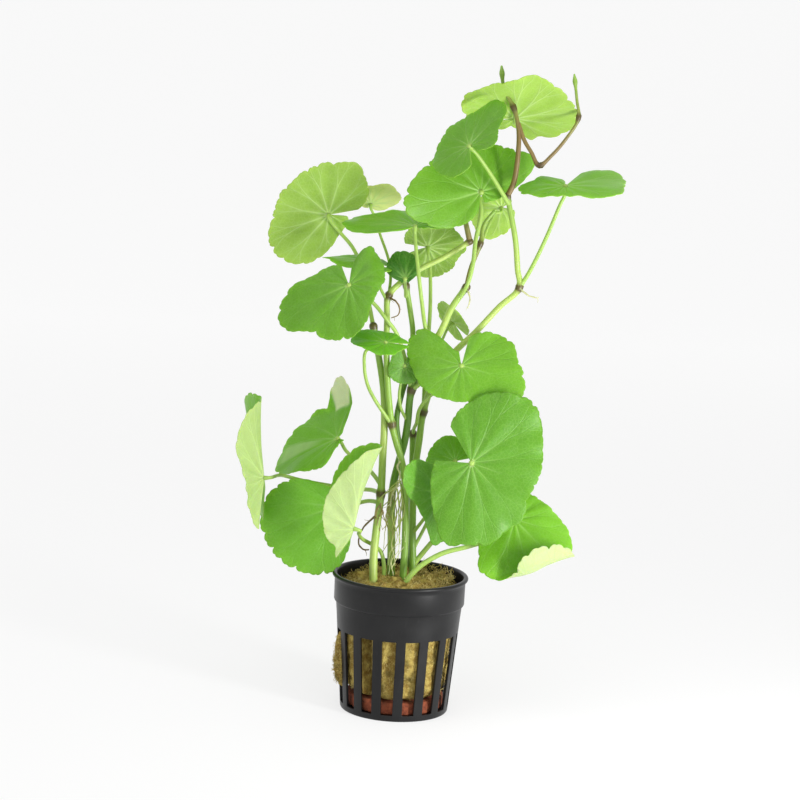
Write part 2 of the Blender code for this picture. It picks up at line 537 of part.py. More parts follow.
leaf("leaf_lower_right", (42, -8, 77.5), (30, 90, -60), (11, 12, 13, 14, 15, 18.5, 24.5, 24, 24, 28, 29, 29,
     24.5, 21, 17, 14.5, 13, 12.5, 12, 11, 10),
     [(35, -7, 70), (25.5, -8, 66.5), (14.5, -9, 63), (5, -10, 56), (1, -10, 48.5), (0.5, -10, FOOT)], sinus=20,
     bends=((-12.5, 17.8, 2, 155),), rings=(0, 0.55, 0.75, 0.87, 1), spokes=20, stalk_radii=(0.75, 1.1))
leaf("leaf_lower_left", (-26, 2, 77), (15, 90, 215), (7, 7, 11, 22, 29, 30, 28.5, 24.5, 13, 8, 7),
     [(-20.5, 4, 77.5), (-14, 1, 80), (-9.5, -5, 81)], "stem_left", sinus=35)
leaf("leaf_curled_front", (-18.5, -18.5, 73.2), (100, 170, 72), (13, 10, 11, 12, 13, 14.5, 16.5, 19, 22.5, 28,
     33, 31, 27, 22, 18, 15.5, 14.5, 13.5, 12.5, 12, 14),
     [(-16.5, -12, 70), (-14.8, -5, 66.3), (-11, -2.5, 63.8), (-8, -2.5, 61.5), (-6.6, -2.5, 57), (-6.2, -2.5, 50),
     (-6.2, -2.5, FOOT)], sinus=25, bends=((90, 0, 3, 75), (-90, 0, 3, 65)), rings=(0, 0.2, 0.45, 0.75, 1),
     spokes=20, stalk_spacing=6.0, look=PALE_LEAF)

build_rockwool(["stem_left", "stem_centre", "stem_middle", "stem_right", "stem_rear", "leaf_lower_right",
                "leaf_curled_front"])
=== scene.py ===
import math

import bmesh
import bpy
import numpy as np
from mathutils import Matrix, Vector


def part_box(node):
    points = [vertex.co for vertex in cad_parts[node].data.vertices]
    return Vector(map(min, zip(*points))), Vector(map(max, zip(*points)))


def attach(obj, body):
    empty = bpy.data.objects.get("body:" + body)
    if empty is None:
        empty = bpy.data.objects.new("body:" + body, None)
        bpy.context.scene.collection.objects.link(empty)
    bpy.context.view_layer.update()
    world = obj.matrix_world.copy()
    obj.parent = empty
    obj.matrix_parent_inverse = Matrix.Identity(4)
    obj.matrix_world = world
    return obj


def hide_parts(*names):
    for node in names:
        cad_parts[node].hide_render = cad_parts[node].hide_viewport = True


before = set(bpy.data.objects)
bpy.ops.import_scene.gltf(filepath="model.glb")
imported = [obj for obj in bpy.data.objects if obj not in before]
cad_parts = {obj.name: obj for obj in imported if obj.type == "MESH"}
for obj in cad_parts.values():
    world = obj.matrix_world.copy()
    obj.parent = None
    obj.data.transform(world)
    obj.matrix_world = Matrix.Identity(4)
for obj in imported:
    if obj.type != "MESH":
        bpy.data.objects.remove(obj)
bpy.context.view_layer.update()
MM = 0.001


# The net pot
# One injection moulding in black plastic with a fine matt grain: a flat floor, a tapered wall with sixteen
# slots for the roots, a wider band above a small step, and a rolled rim.

POT_HEIGHT = 52.8
RIM_RADIUS = 26.0
BAND_RADIUS = 25.0
STEP_HEIGHT = 42.0
SHOULDER_RADIUS = 24.1
BASE_RADIUS = 20.65
POT_WALL = 1.0
POT_FLOOR = 1.4
SLOTS = 16
SLOT_FOOT = 2.4
SLOT_HEAD = 31.5
SLOT_FOOT_WIDTH = 4.4
SLOT_HEAD_WIDTH = 5.3
SLOT_TURN = 15.0


def wall_radius(z):
    """The pot's outer radius: a straight line from the foot's radius to the shoulder's."""
    return BASE_RADIUS + (SHOULDER_RADIUS - BASE_RADIUS) * z / STEP_HEIGHT


def lay_mesh(name, points, faces, looks, smooth=35.0, face_look=None, marks=None):
    """A piece of these points, in millimetres, and faces of three or four corners. Points that coincide are made one
    and the faces are turned outwards. marks are values for each point, which the materials read by name."""
    mesh = bpy.data.meshes.new(name)
    mesh.from_pydata((np.asarray(points) * MM).tolist(), [], np.asarray(faces).tolist())
    if face_look is not None:
        mesh.polygons.foreach_set("material_index", np.asarray(face_look, np.int32))
    for mark, values in (marks or {}).items():
        values = np.asarray(values, np.float32)
        if values.ndim == 1:
            mesh.attributes.new(mark, "FLOAT", "POINT").data.foreach_set("value", values)
        else:
            four = np.concatenate([values, np.ones((len(values), 1), np.float32)], axis=1)
            mesh.attributes.new(mark, "FLOAT_COLOR", "POINT").data.foreach_set("color", four.ravel())
    work = bmesh.new()
    work.from_mesh(mesh)
    bmesh.ops.remove_doubles(work, verts=work.verts, dist=1e-7)
    bmesh.ops.recalc_face_normals(work, faces=work.faces)
    work.to_mesh(mesh)
    work.free()
    mesh.shade_smooth()
    if smooth < 180.0:
        mesh.set_sharp_from_angle(angle=math.radians(smooth))
    for look in looks:
        mesh.materials.append(look)
    piece = bpy.data.objects.new(name, mesh)
    bpy.context.scene.collection.objects.link(piece)
    return piece


def grid_faces(rows, columns, wrap=False):
    """The quads between neighbouring rows and columns of a grid whose points are numbered row by row."""
    i, j = np.meshgrid(np.arange(rows - 1), np.arange(columns if wrap else columns - 1), indexing="ij")
    k = (j + 1) % columns
    return np.stack([i * columns + j, (i + 1) * columns + j, (i + 1) * columns + k, i * columns + k], axis=-1)


def new_look(name, colour, roughness):
    """A material with a Principled shader, and its node tree."""
    look = bpy.data.materials.new(name)
    look.use_nodes = True
    shader = look.node_tree.nodes["Principled BSDF"]
    shader.inputs["Base Color"].default_value = (*colour, 1.0)
    shader.inputs["Roughness"].default_value = roughness
    return look, look.node_tree, shader


def node(tree, kind, inputs=(), **settings):
    """A node with its settings, each input a value or another node's socket."""
    made = tree.nodes.new(kind)
    for key, value in settings.items():
        setattr(made, key, value)
    for key, value in dict(inputs).items():
        if isinstance(value, bpy.types.NodeSocket):
            tree.links.new(value, made.inputs[key])
        else:
            made.inputs[key].default_value = value
    return made


def calc(tree, operation, *values, clamp=False):
    """One step of arithmetic on numbers or sockets."""
    return node(tree, "ShaderNodeMath", enumerate(values), operation=operation, use_clamp=clamp).outputs[0]


def times(tree, first, second, clamp=False):
    return calc(tree, "MULTIPLY", first, second, clamp=clamp)


def plus(tree, first, second):
    return calc(tree, "ADD", first, second)


def less(tree, first, second):
    """The first without the second."""
    return calc(tree, "SUBTRACT", first, second)


def fade(tree, value, low, high):
    """0 where the value is at low, 1 where it is at high, smooth between."""
    return node(tree, "ShaderNodeMapRange", {"Value": value, "From Min": low, "From Max": high},
                interpolation_type="SMOOTHSTEP").outputs[0]


def blend(tree, share, first, second, kind="MIX"):
    """A mix of two colours."""
    made = node(tree, "ShaderNodeMix", data_type="RGBA", blend_type=kind)
    for index, value in ((0, share), (6, first), (7, second)):
        if isinstance(value, bpy.types.NodeSocket):
            tree.links.new(value, made.inputs[index])
        else:
            made.inputs[index].default_value = (*value, 1.0) if isinstance(value, tuple) else value
    return made.outputs[2]


def grain(tree, size, detail=3.0, roughness=0.5, distortion=0.0, stretch=None):
    """Noise whose features are about this size in millimetres, from 0 to 1."""
    place = node(tree, "ShaderNodeTexCoord").outputs["Object"]
    if stretch:
        place = node(tree, "ShaderNodeMapping", {"Vector": place, "Scale": stretch}).outputs[0]
    return node(tree, "ShaderNodeTexNoise", {"Vector": place, "Scale": 1.0 / (size * MM), "Detail": detail,
                                             "Roughness": roughness, "Distortion": distortion}).outputs["Fac"]


def relief(tree, shader, height, depth, strength=1.0):
    """Bump of this height signal, whose full range is depth in millimetres."""
    made = node(tree, "ShaderNodeBump", {"Height": height, "Strength": strength, "Distance": depth * MM})
    tree.links.new(made.outputs[0], shader.inputs["Normal"])


def pot_plastic():
    look, tree, shader = new_look("pot_plastic", (0.02, 0.02, 0.021), 0.36)
    shader.inputs["Specular IOR Level"].default_value = 0.32
    cloud = grain(tree, 9.0, 4.0)
    scuffs = fade(tree, grain(tree, 1.3, 5.0, 0.7, stretch=(1.0, 1.0, 0.35)), 0.58, 0.8)
    base = blend(tree, fade(tree, cloud, 0.3, 0.75), (0.004, 0.004, 0.0044), (0.008, 0.008, 0.0084))
    base = blend(tree, times(tree, scuffs, 0.2), base, (0.07, 0.07, 0.068))
    tree.links.new(base, shader.inputs["Base Color"])
    rough = plus(tree, times(tree, cloud, 0.16), 0.3)
    tree.links.new(plus(tree, rough, times(tree, scuffs, 0.12)), shader.inputs["Roughness"])
    height = plus(tree, times(tree, grain(tree, 0.35, 2.0), 0.3), times(tree, cloud, 0.7))
    relief(tree, shader, height, 0.25, 0.35)
    return look


def pot_surface():
    """A profile turned about Z: radius and height of each row against azimuth in even steps. In the rows between
    the slots' feet and heads the columns slide so that one of each sector's edges follows the slot's side; the faces
    inside a slot are left out, and its four reveals join the inner wall to the outer."""
    slot_rows = np.linspace(SLOT_FOOT, SLOT_HEAD, 15)
    inner = wall_radius(slot_rows) - POT_WALL
    rows = [(0.0, POT_FLOOR), (8.0, POT_FLOOR), (BASE_RADIUS - POT_WALL - 0.5, POT_FLOOR),
            (BASE_RADIUS - POT_WALL, POT_FLOOR + 0.35)]
    inner_from = len(rows)
    rows += list(zip(inner, slot_rows))
    rows += [(SHOULDER_RADIUS - POT_WALL - 0.4, 36.5), (SHOULDER_RADIUS - POT_WALL, STEP_HEIGHT - 0.7),
             (SHOULDER_RADIUS - POT_WALL + 0.2, STEP_HEIGHT - 0.2), (BAND_RADIUS - 1.25, STEP_HEIGHT + 0.3),
             (BAND_RADIUS - 1.1, STEP_HEIGHT + 0.8), (BAND_RADIUS - 0.9, POT_HEIGHT - 0.9),
             (BAND_RADIUS - 0.75, POT_HEIGHT - 0.35), (BAND_RADIUS - 0.35, POT_HEIGHT - 0.04)]
    rows += [(RIM_RADIUS - 0.75 + 0.75 * math.sin(a), POT_HEIGHT - 0.75 + 0.75 * math.cos(a))
             for a in np.radians([0, 25, 50, 75, 100, 125])]
    rows += [(BAND_RADIUS + 0.3, POT_HEIGHT - 1.55), (BAND_RADIUS + 0.05, POT_HEIGHT - 1.9),
             (BAND_RADIUS, POT_HEIGHT - 3.0), (BAND_RADIUS - 0.06, STEP_HEIGHT + 0.45),
             (BAND_RADIUS - 0.2, STEP_HEIGHT + 0.1), (BAND_RADIUS - 0.45, STEP_HEIGHT - 0.1),
             (SHOULDER_RADIUS + 0.1, STEP_HEIGHT - 0.3), (SHOULDER_RADIUS, STEP_HEIGHT - 0.7),
             (wall_radius(36.5), 36.5)]
    outer_from = len(rows)
    rows += list(zip(wall_radius(slot_rows[::-1]), slot_rows[::-1]))
    rows += [(BASE_RADIUS + 0.08, 0.9), (BASE_RADIUS, 0.4), (BASE_RADIUS - 0.2, 0.1), (BASE_RADIUS - 0.5, 0.0),
             (12.0, 0.0), (0.0, 0.0)]
    radius, height = np.array(rows).T
    level = np.clip(height, SLOT_FOOT, SLOT_HEAD)
    width = SLOT_FOOT_WIDTH + (SLOT_HEAD_WIDTH - SLOT_FOOT_WIDTH) * (level - SLOT_FOOT) / (SLOT_HEAD - SLOT_FOOT)
    half = np.arcsin(width / 2 / (wall_radius(level) - POT_WALL / 2))
    sector = math.tau / SLOTS
    across = np.concatenate([np.linspace(-1, 1, 5)[:-1, None] * half,
                             half + np.linspace(0, 1, 7)[:-1, None] * (sector - 2 * half)])
    columns = len(across) * SLOTS
    azimuth = (math.radians(SLOT_TURN) + sector * np.arange(SLOTS)[:, None, None] + across).reshape(columns, -1).T
    points = np.stack([radius[:, None] * np.sin(azimuth), -radius[:, None] * np.cos(azimuth),
                       np.broadcast_to(height[:, None], azimuth.shape)], axis=-1)
    faces = grid_faces(len(rows), columns, wrap=True)
    count = len(slot_rows)
    in_slot = np.arange(columns) % len(across) < 4
    open_rows = np.zeros(len(rows) - 1, bool)
    open_rows[inner_from:inner_from + count - 1] = True
    open_rows[outer_from:outer_from + count - 1] = True
    kept = faces[~(open_rows[:, None] & in_slot[None, :])]
    inside = inner_from + np.arange(count)
    outside = outer_from + count - 1 - np.arange(count)
    sides = []
    for edge in (0, 4):
        column = np.arange(SLOTS) * len(across) + edge
        a = inside[:, None] * columns + column
        b = outside[:, None] * columns + column
        sides.append(np.stack([a[:-1], a[1:], b[1:], b[:-1]], axis=-1).reshape(-1, 4))
    slots = np.arange(columns)[in_slot]
    for end in (0, -1):
        a = inside[end] * columns + slots
        b = outside[end] * columns + slots
        sides.append(np.stack([a, a + 1, b + 1, b], axis=-1))
    return points.reshape(-1, 3), np.concatenate([kept, *sides])


pot = lay_mesh("net_pot", *pot_surface(), [pot_plastic()], smooth=40.0)
rounding = pot.modifiers.new("rounding", "BEVEL")
rounding.width = 0.12 * MM
rounding.segments = 2
rounding.limit_method = "ANGLE"
rounding.angle_limit = math.radians(50)
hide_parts("pot")
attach(pot, "root")


# The clay ring
# A ring of unglazed fired clay that weighs the pot down. It lies on the pot's floor under the wool and shows
# only through the feet of the slots, a little crumbled and stained.

RING_OUTER = 18.8
RING_INNER = 9.5
RING_FOOT = 1.7
RING_HEIGHT = 5.4


def lattice_noise(points, size, seed):
    """Smooth noise from -1 to 1 with features of this size: the corners of a cubic lattice carry random numbers, and
    a point takes their blend, weighted by how near it is to each along the three axes."""
    corners = np.random.default_rng(seed).uniform(-1, 1, (24, 24, 24))
    place = np.asarray(points) / size + 100.37
    low = np.floor(place).astype(int)
    share = place - low
    share = share * share * (3 - 2 * share)
    total = np.zeros(place.shape[:-1])
    for corner in np.ndindex(2, 2, 2):
        weight = np.prod(np.where(np.array(corner) == 1, share, 1 - share), axis=-1)
        index = (low + corner) % 24
        total += weight * corners[index[..., 0], index[..., 1], index[..., 2]]
    return total


def fired_clay():
    look, tree, shader = new_look("fired_clay", (0.36, 0.1, 0.05), 0.9)
    mottle = grain(tree, 1.6, 5.0, 0.65)
    base = blend(tree, fade(tree, mottle, 0.3, 0.7), (0.13, 0.026, 0.01), (0.32, 0.08, 0.03))
    stain = fade(tree, grain(tree, 4.0, 3.0), 0.5, 0.7)
    base = blend(tree, times(tree, stain, 0.6), base, (0.1, 0.045, 0.02))
    tree.links.new(base, shader.inputs["Base Color"])
    relief(tree, shader, grain(tree, 0.5, 4.0, 0.7), 0.4, 0.7)
    return look


def ring_surface():
    """A rounded rectangle carried round Z: each point of the section keeps its radius and height, and noise moves
    it a little along both."""
    around = np.linspace(0, math.tau, 121)[:-1]
    turn = np.linspace(0, math.tau, 41)[:-1]
    middle, half_width, half_height = (RING_OUTER + RING_INNER) / 2, (RING_OUTER - RING_INNER) / 2, RING_HEIGHT / 2
    across = np.sign(np.cos(turn)) * np.abs(np.cos(turn)) ** 0.3 * half_width
    up = np.sign(np.sin(turn)) * np.abs(np.sin(turn)) ** 0.3 * half_height
    radius = middle + across
    height = RING_FOOT + half_height + up
    points = np.stack([radius[:, None] * np.cos(around), radius[:, None] * np.sin(around),
                       np.broadcast_to(height[:, None], (len(turn), len(around)))], axis=-1)
    inward = 0.25 * np.abs(lattice_noise(points, 2.2, 3)) + 0.12 * np.abs(lattice_noise(points, 0.8, 4))
    level = np.full_like(around, RING_FOOT + half_height)
    centre = np.stack([middle * np.cos(around), middle * np.sin(around), level], axis=-1)
    points = points + (centre[None] - points) * (inward / 3.0)[..., None]
    faces = grid_faces(len(turn) + 1, len(around), wrap=True) % (len(turn) * len(around))
    return points.reshape(-1, 3), faces.reshape(-1, 4)


ring = lay_mesh("fired_clay_ring", *ring_surface(), [fired_clay()], smooth=180.0)
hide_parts("clay_ring")
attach(ring, "root")


# The rock wool plug
# Spun mineral fibre pressed into the pot, stained ochre and olive. Its torn top is uneven and stands clear of
# the rim at the back. It pushes out of the slot at the far left and leaves a hollow behind the third slot.

WOOL_FOOT = 5.9
WOOL_HEAD = 51.4
HOLLOW_TURN = 236.0
HOLLOW_HALF = 4.6
HOLLOW_DEPTH = 12.0
HOLLOW_HEIGHT = 26.0
BULGE_TURN = math.radians(-75.0)
BULGE_OUT = 20.6
BULGE_HEIGHT = 20.0
BULGE_SIZE = (1.8, 3.9, 11.6)


def mineral_wool(name, pale, deep, fibre):
    look, tree, shader = new_look(name, pale, 0.95)
    shader.inputs["Specular IOR Level"].default_value = 0.15
    mottle = grain(tree, 2.6, 5.0, 0.65)
    fibres = grain(tree, 0.5, 4.0, 0.7, 1.5)
    base = blend(tree, fade(tree, mottle, 0.36, 0.66), deep, pale)
    base = blend(tree, times(tree, fade(tree, fibres, 0.52, 0.72), 0.6), base, fibre)
    stain = fade(tree, grain(tree, 5.0, 3.0), 0.56, 0.7)
    base = blend(tree, times(tree, stain, 0.55), base, (0.13, 0.1, 0.026))
    tree.links.new(base, shader.inputs["Base Color"])
    relief(tree, shader, fibres, 0.8, 0.8)
    return look


def plug_surface():
    """A sphere's grid pressed to the pot's taper: the height is the sine of latitude raised to a low power, the
    radius stays near the wall's until the ends, and both are roughened by noise, most at the torn top. The hollow
    takes its depth off the radius, about its own azimuth and height."""
    latitude = np.linspace(-math.pi / 2, math.pi / 2, 130)
    around = np.linspace(0, math.tau, 241)[:-1]
    s = np.sin(latitude)[:, None]
    c = np.cos(around)[None, :]
    level = np.sign(s) * np.abs(s) ** 0.45
    z = (WOOL_FOOT + WOOL_HEAD) / 2 + (WOOL_HEAD - WOOL_FOOT) / 2 * level + 0 * c
    spread = np.clip(1 - np.abs(s) ** 5.0, 0, 1) ** 0.30
    inside = wall_radius(np.minimum(z, STEP_HEIGHT)) - POT_WALL - 0.5
    radius = inside * spread
    flat = np.cos(latitude)[:, None] + 0 * c
    top = np.clip((s - 0.5) / 0.2, 0, 1)
    z = z + top * flat * (1.3 * np.cos(around - 0.6) + 0.7 * np.sin(3 * around + 1.0))
    points = np.stack([radius * c, radius * np.sin(around), z], axis=-1)
    coarse, middle, fine = (lattice_noise(points, size, seed) for size, seed in ((4.5, 11), (2.0, 12), (0.9, 13)))
    inward = 0.9 + 0.9 * coarse + 0.45 * middle + 0.25 * fine
    side = 1 - top
    hollow = np.exp(-(((np.degrees(around) - HOLLOW_TURN) / HOLLOW_HALF) ** 6))
    inward = inward + HOLLOW_DEPTH * hollow * np.exp(-(((z - HOLLOW_HEIGHT) / 19) ** 8))
    shrink = np.clip(inward, 0.0, None) / np.maximum(radius, 3.0) * side * np.clip(spread * 3, 0, 1)
    points[..., :2] *= (1 - shrink)[..., None]
    points[..., 2] += top * np.minimum(0.3 + 1.5 * coarse + 1.0 * middle + 0.6 * fine, 2.2)
    return points.reshape(-1, 3), grid_faces(len(latitude), len(around), wrap=True).reshape(-1, 4)


def bulge_surface():
    """An ellipsoid that stands in the slot at the far left, roughened by noise along its radius."""
    latitude = np.linspace(-math.pi / 2, math.pi / 2, 60)[:, None]
    around = np.linspace(0, math.tau, 49)[:-1]
    unit = np.stack([np.cos(latitude) * np.cos(around), np.cos(latitude) * np.sin(around),
                     np.sin(latitude) + 0 * around], axis=-1)
    local = unit * np.array(BULGE_SIZE)
    size = 1 + 0.1 * lattice_noise(local, 2.4, 21) + 0.07 * lattice_noise(local, 0.9, 22)
    local = local * size[..., None] + np.array([0.0, -BULGE_OUT, BULGE_HEIGHT])
    c, s = math.cos(BULGE_TURN), math.sin(BULGE_TURN)
    x, y, z = np.moveaxis(local, -1, 0)
    points = np.stack([x * c - y * s, x * s + y * c, z], axis=-1)
    return points.reshape(-1, 3), grid_faces(60, 48, wrap=True).reshape(-1, 4)


def carried(path, radius, sides, turn=0.0, squeeze=1.0):
    """A tube's points: at each point of the path stands a ring of this radius, square to the path. The rings' frames
    are carried along without twist."""
    path = np.asarray(path, float)
    ahead = np.gradient(path, axis=0)
    ahead /= np.linalg.norm(ahead, axis=1, keepdims=True)
    side = np.empty_like(path)
    start = np.cross(ahead[0], (0.0, 1.0, 0.0) if abs(ahead[0][1]) < 0.9 else (1.0, 0.0, 0.0))
    side[0] = start / np.linalg.norm(start)
    for i in range(1, len(path)):
        step = side[i - 1] - ahead[i] * side[i - 1].dot(ahead[i])
        side[i] = step / np.linalg.norm(step)
    other = np.cross(ahead, side)
    angle = np.linspace(0, math.tau, sides + 1)[:-1] + turn
    ring = side[:, None] * np.cos(angle)[:, None] + squeeze * other[:, None] * np.sin(angle)[:, None]
    return path[:, None] + np.asarray(radius, float).reshape(len(path), -1)[..., None] * ring


def fibres(count, seed, start, heading, length, thick, curl):
    """Curled strands, three-sided and tapered at both ends. Each walks from its start with steps whose direction
    drifts, all of them at once."""
    rng = np.random.default_rng(seed)
    steps = 8
    direction = heading + rng.normal(0, 0.5, (count, 3))
    place = start.copy()
    path = [place]
    for _ in range(steps):
        direction = direction / np.linalg.norm(direction, axis=1, keepdims=True)
        place = place + direction * (length[:, None] / steps)
        path.append(place)
        direction = direction + rng.normal(0, curl, (count, 3))
    path = np.stack(path, axis=1)
    radius = thick * np.array([0, 0.8, 1, 1, 1, 1, 0.9, 0.7, 0])
    ahead = np.gradient(path, axis=1)
    side = np.cross(ahead, (0.31, 0.52, 0.79))
    side /= np.linalg.norm(side, axis=2, keepdims=True)
    other = np.cross(ahead, side)
    other /= np.linalg.norm(other, axis=2, keepdims=True)
    angle = np.array([0, math.tau / 3, 2 * math.tau / 3])
    ring = side[:, :, None] * np.cos(angle)[:, None] + other[:, :, None] * np.sin(angle)[:, None]
    points = path[:, :, None] + radius[None, :, None, None] * ring
    quads = grid_faces(steps + 1, 3, wrap=True).reshape(-1, 4)
    offset = np.arange(count)[:, None, None] * (steps + 1) * 3
    return points.reshape(-1, 3), (quads[None] + offset).reshape(-1, 4)


def join_grids(*parts):
    """Several point and face lists as one."""
    shift = np.cumsum([0] + [len(points) for points, _ in parts[:-1]])
    return (np.concatenate([points for points, _ in parts]),
            np.concatenate([faces + offset for (_, faces), offset in zip(parts, shift)]))


wool_skin = mineral_wool("mineral_wool", (0.62, 0.48, 0.13), (0.3, 0.19, 0.04), (0.84, 0.72, 0.28))
wool = lay_mesh("wool_plug", *join_grids(plug_surface(), bulge_surface()), [wool_skin], smooth=180.0)
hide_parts("rockwool")
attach(wool, "root")


def strands_on_top(rng, count=1500):
    """Strands that stand up all over the torn top."""
    turn = rng.uniform(0, math.tau, count)
    out = np.sqrt(rng.uniform(0.0, 1.0, count)) * 20.5
    height = 50.6 + 1.4 * np.cos(turn - 0.6) * out / 21
    start = np.stack([out * np.cos(turn), out * np.sin(turn), height], axis=1)
    upward = np.tile([0.0, 0.0, 0.12], (count, 1))
    return fibres(count, 6, start, upward, rng.uniform(2.0, 5.0, count), 0.12, 0.6)


def strands_in_slots(rng, count=1100):
    """Strands that lie up and down on the plug's side behind the slots, and deeper in the hollow."""
    slot = rng.integers(0, SLOTS, count)
    turn = np.radians(SLOT_TURN) + slot * math.tau / SLOTS + rng.uniform(-0.1, 0.1, count)
    height = rng.uniform(9.0, 31.0, count)
    in_hollow = np.abs(np.degrees(turn) % 360 - HOLLOW_TURN - 90) < HOLLOW_HALF
    out = wall_radius(height) - POT_WALL - 1.1 - 11.0 * in_hollow
    start = np.stack([out * np.sin(turn), -out * np.cos(turn), height], axis=1)
    along = np.stack([0 * height, 0 * height, 1.2 * np.sign(rng.normal(0, 1, count))], axis=1)
    return fibres(count, 7, start, along, rng.uniform(1.2, 2.6, count), 0.07, 0.35)


def strands_on_bulge(rng, count=500):
    """Strands that hang from the bulge's outer face."""
    off = rng.uniform(-0.085, 0.085, count)
    turn = BULGE_TURN + off
    height = rng.uniform(10.5, 29.5, count)
    inside = 1 - ((height - BULGE_HEIGHT) / BULGE_SIZE[2]) ** 2 - (np.degrees(off) / 5.4) ** 2
    out = BULGE_OUT + 3.6 * np.sqrt(np.clip(inside, 0, 1))
    start = np.stack([out * np.sin(turn), -out * np.cos(turn), height], axis=1)
    return fibres(count, 8, start, np.tile([-0.15, 0.0, -0.7], (count, 1)), rng.uniform(1.0, 2.4, count), 0.08, 0.5)


strand_rng = np.random.default_rng(5)
strand_parts = [strands_on_top(strand_rng), strands_in_slots(strand_rng), strands_on_bulge(strand_rng)]
fibre_skin = mineral_wool("wool_fibre", (0.92, 0.78, 0.32), (0.58, 0.42, 0.12), (0.96, 0.88, 0.48))
strands = lay_mesh("wool_fibres", *join_grids(*strand_parts), [fibre_skin], smooth=180.0)
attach(strands, "root")


# Stems
# Smooth fleshy stems, round and pale yellow-green, that swell at every joint. The joints are dark or reddish
# brown where the old sheaths have dried. The stems stand in the wool and lean away from each other.


def smooth_line(points, steps=14):
    """A Catmull-Rom line through the points, its knots spaced by the square roots of their distances: each stretch
    is the blend of the two parabolas that pass through its ends and the point before or after."""
    points = np.asarray(points, float)
    padded = np.vstack([2 * points[0] - points[1], points, 2 * points[-1] - points[-2]])
    a, b, c, d = padded[:-3], padded[1:-2], padded[2:-1], padded[3:]
    t1 = np.linalg.norm(b - a, axis=1) ** 0.5
    t2 = t1 + np.linalg.norm(c - b, axis=1) ** 0.5
    t3 = t2 + np.linalg.norm(d - c, axis=1) ** 0.5
    share = np.arange(steps) / steps
    t = (t1[:, None] + (t2 - t1)[:, None] * share)[..., None]
    a, b, c, d = (x[:, None] for x in (a, b, c, d))
    t1, t2, t3 = (x[:, None, None] for x in (t1, t2, t3))
    p = a + (b - a) * t / t1
    q = b + (c - b) * (t - t1) / (t2 - t1)
    r = c + (d - c) * (t - t2) / (t3 - t2)
    s = p + (q - p) * t / t2
    u = q + (r - q) * (t - t1) / (t3 - t1)
    line = s + (u - s) * (t - t1) / (t2 - t1)
    return np.vstack([line.reshape(-1, 3), points[-1:]])


def even_line(points, spacing):
    """The smooth line at even spacing, and each point's distance along it."""
    line = smooth_line(points)
    arc = np.concatenate([[0.0], np.cumsum(np.linalg.norm(np.diff(line, axis=0), axis=1))])
    at = np.linspace(0, arc[-1], max(4, round(arc[-1] / spacing)) + 1)
    return np.stack([np.interp(at, arc, line[:, axis]) for axis in range(3)], axis=1), at


def rounded_tube(path, radius, sides=18):
    """A tube along the path whose two ends are closed by half-rounds."""
    cap = np.radians([90, 65, 40, 18])
    ahead = np.gradient(path, axis=0)
    ahead /= np.linalg.norm(ahead, axis=1, keepdims=True)
    front = path[0] - ahead[0] * radius[0] * np.sin(cap)[:, None]
    back = path[-1] + ahead[-1] * radius[-1] * np.sin(cap[::-1])[:, None]
    full = np.vstack([front, path, back])
    size = np.concatenate([radius[0] * np.cos(cap), radius, radius[-1] * np.cos(cap[::-1])])
    size[[0, -1]] = 0.0
    points = carried(full, size, sides)
    order = np.concatenate([np.zeros(4, int), np.arange(len(path)), np.full(4, len(path) - 1)])
    return points.reshape(-1, 3), grid_faces(len(full), sides, wrap=True).reshape(-1, 4), np.repeat(order, sides)


def paint(red, green, blue):
    """A display colour of 0 to 255 as the linear one that a shader takes."""
    value = np.array([red, green, blue]) / 255
    return np.where(value <= 0.04045, value / 12.92, ((value + 0.055) / 1.055) ** 2.4)


def mark(tree, name):
    """What the mesh's points carry under this name, as a colour and as a number."""
    made = node(tree, "ShaderNodeAttribute", attribute_name=name)
    return made.outputs["Color"], made.outputs["Fac"]


def flesh(shader, weight, reach, radii):
    """Light that enters the flesh and comes out up to this many millimetres away."""
    shader.inputs["Subsurface Weight"].default_value = weight
    shader.inputs["Subsurface Radius"].default_value = radii
    shader.inputs["Subsurface Scale"].default_value = reach * MM


def stem_skin():
    look, tree, shader = new_look("stem_skin", (0.3, 0.42, 0.12), 0.36)
    flesh(shader, 0.5, 1.2, (1.0, 1.1, 0.35))
    tint = mark(tree, "tint")[0]
    streaks = grain(tree, 0.55, 4.0, 0.6, stretch=(1.0, 1.0, 0.06))
    mottle = grain(tree, 3.0, 4.0, 0.6)
    shade = plus(tree, 0.72, plus(tree, times(tree, streaks, 0.34), times(tree, mottle, 0.22)))
    tree.links.new(blend(tree, 1.0, tint, shade, "MULTIPLY"), shader.inputs["Base Color"])
    tree.links.new(plus(tree, 0.26, times(tree, mottle, 0.22)), shader.inputs["Roughness"])
    relief(tree, shader, streaks, 0.2, 0.35)
    return look


STEM_SKIN = stem_skin()
STEM_PALE = paint(178, 202, 104)
STEM_GREEN = paint(142, 180, 74)
STEM_DEEP = paint(98, 142, 42)
STEM_FOOT = paint(86, 120, 40)
JOINT_BROWN = paint(84, 66, 34)
SHOOT_BROWN = paint(134, 112, 66)


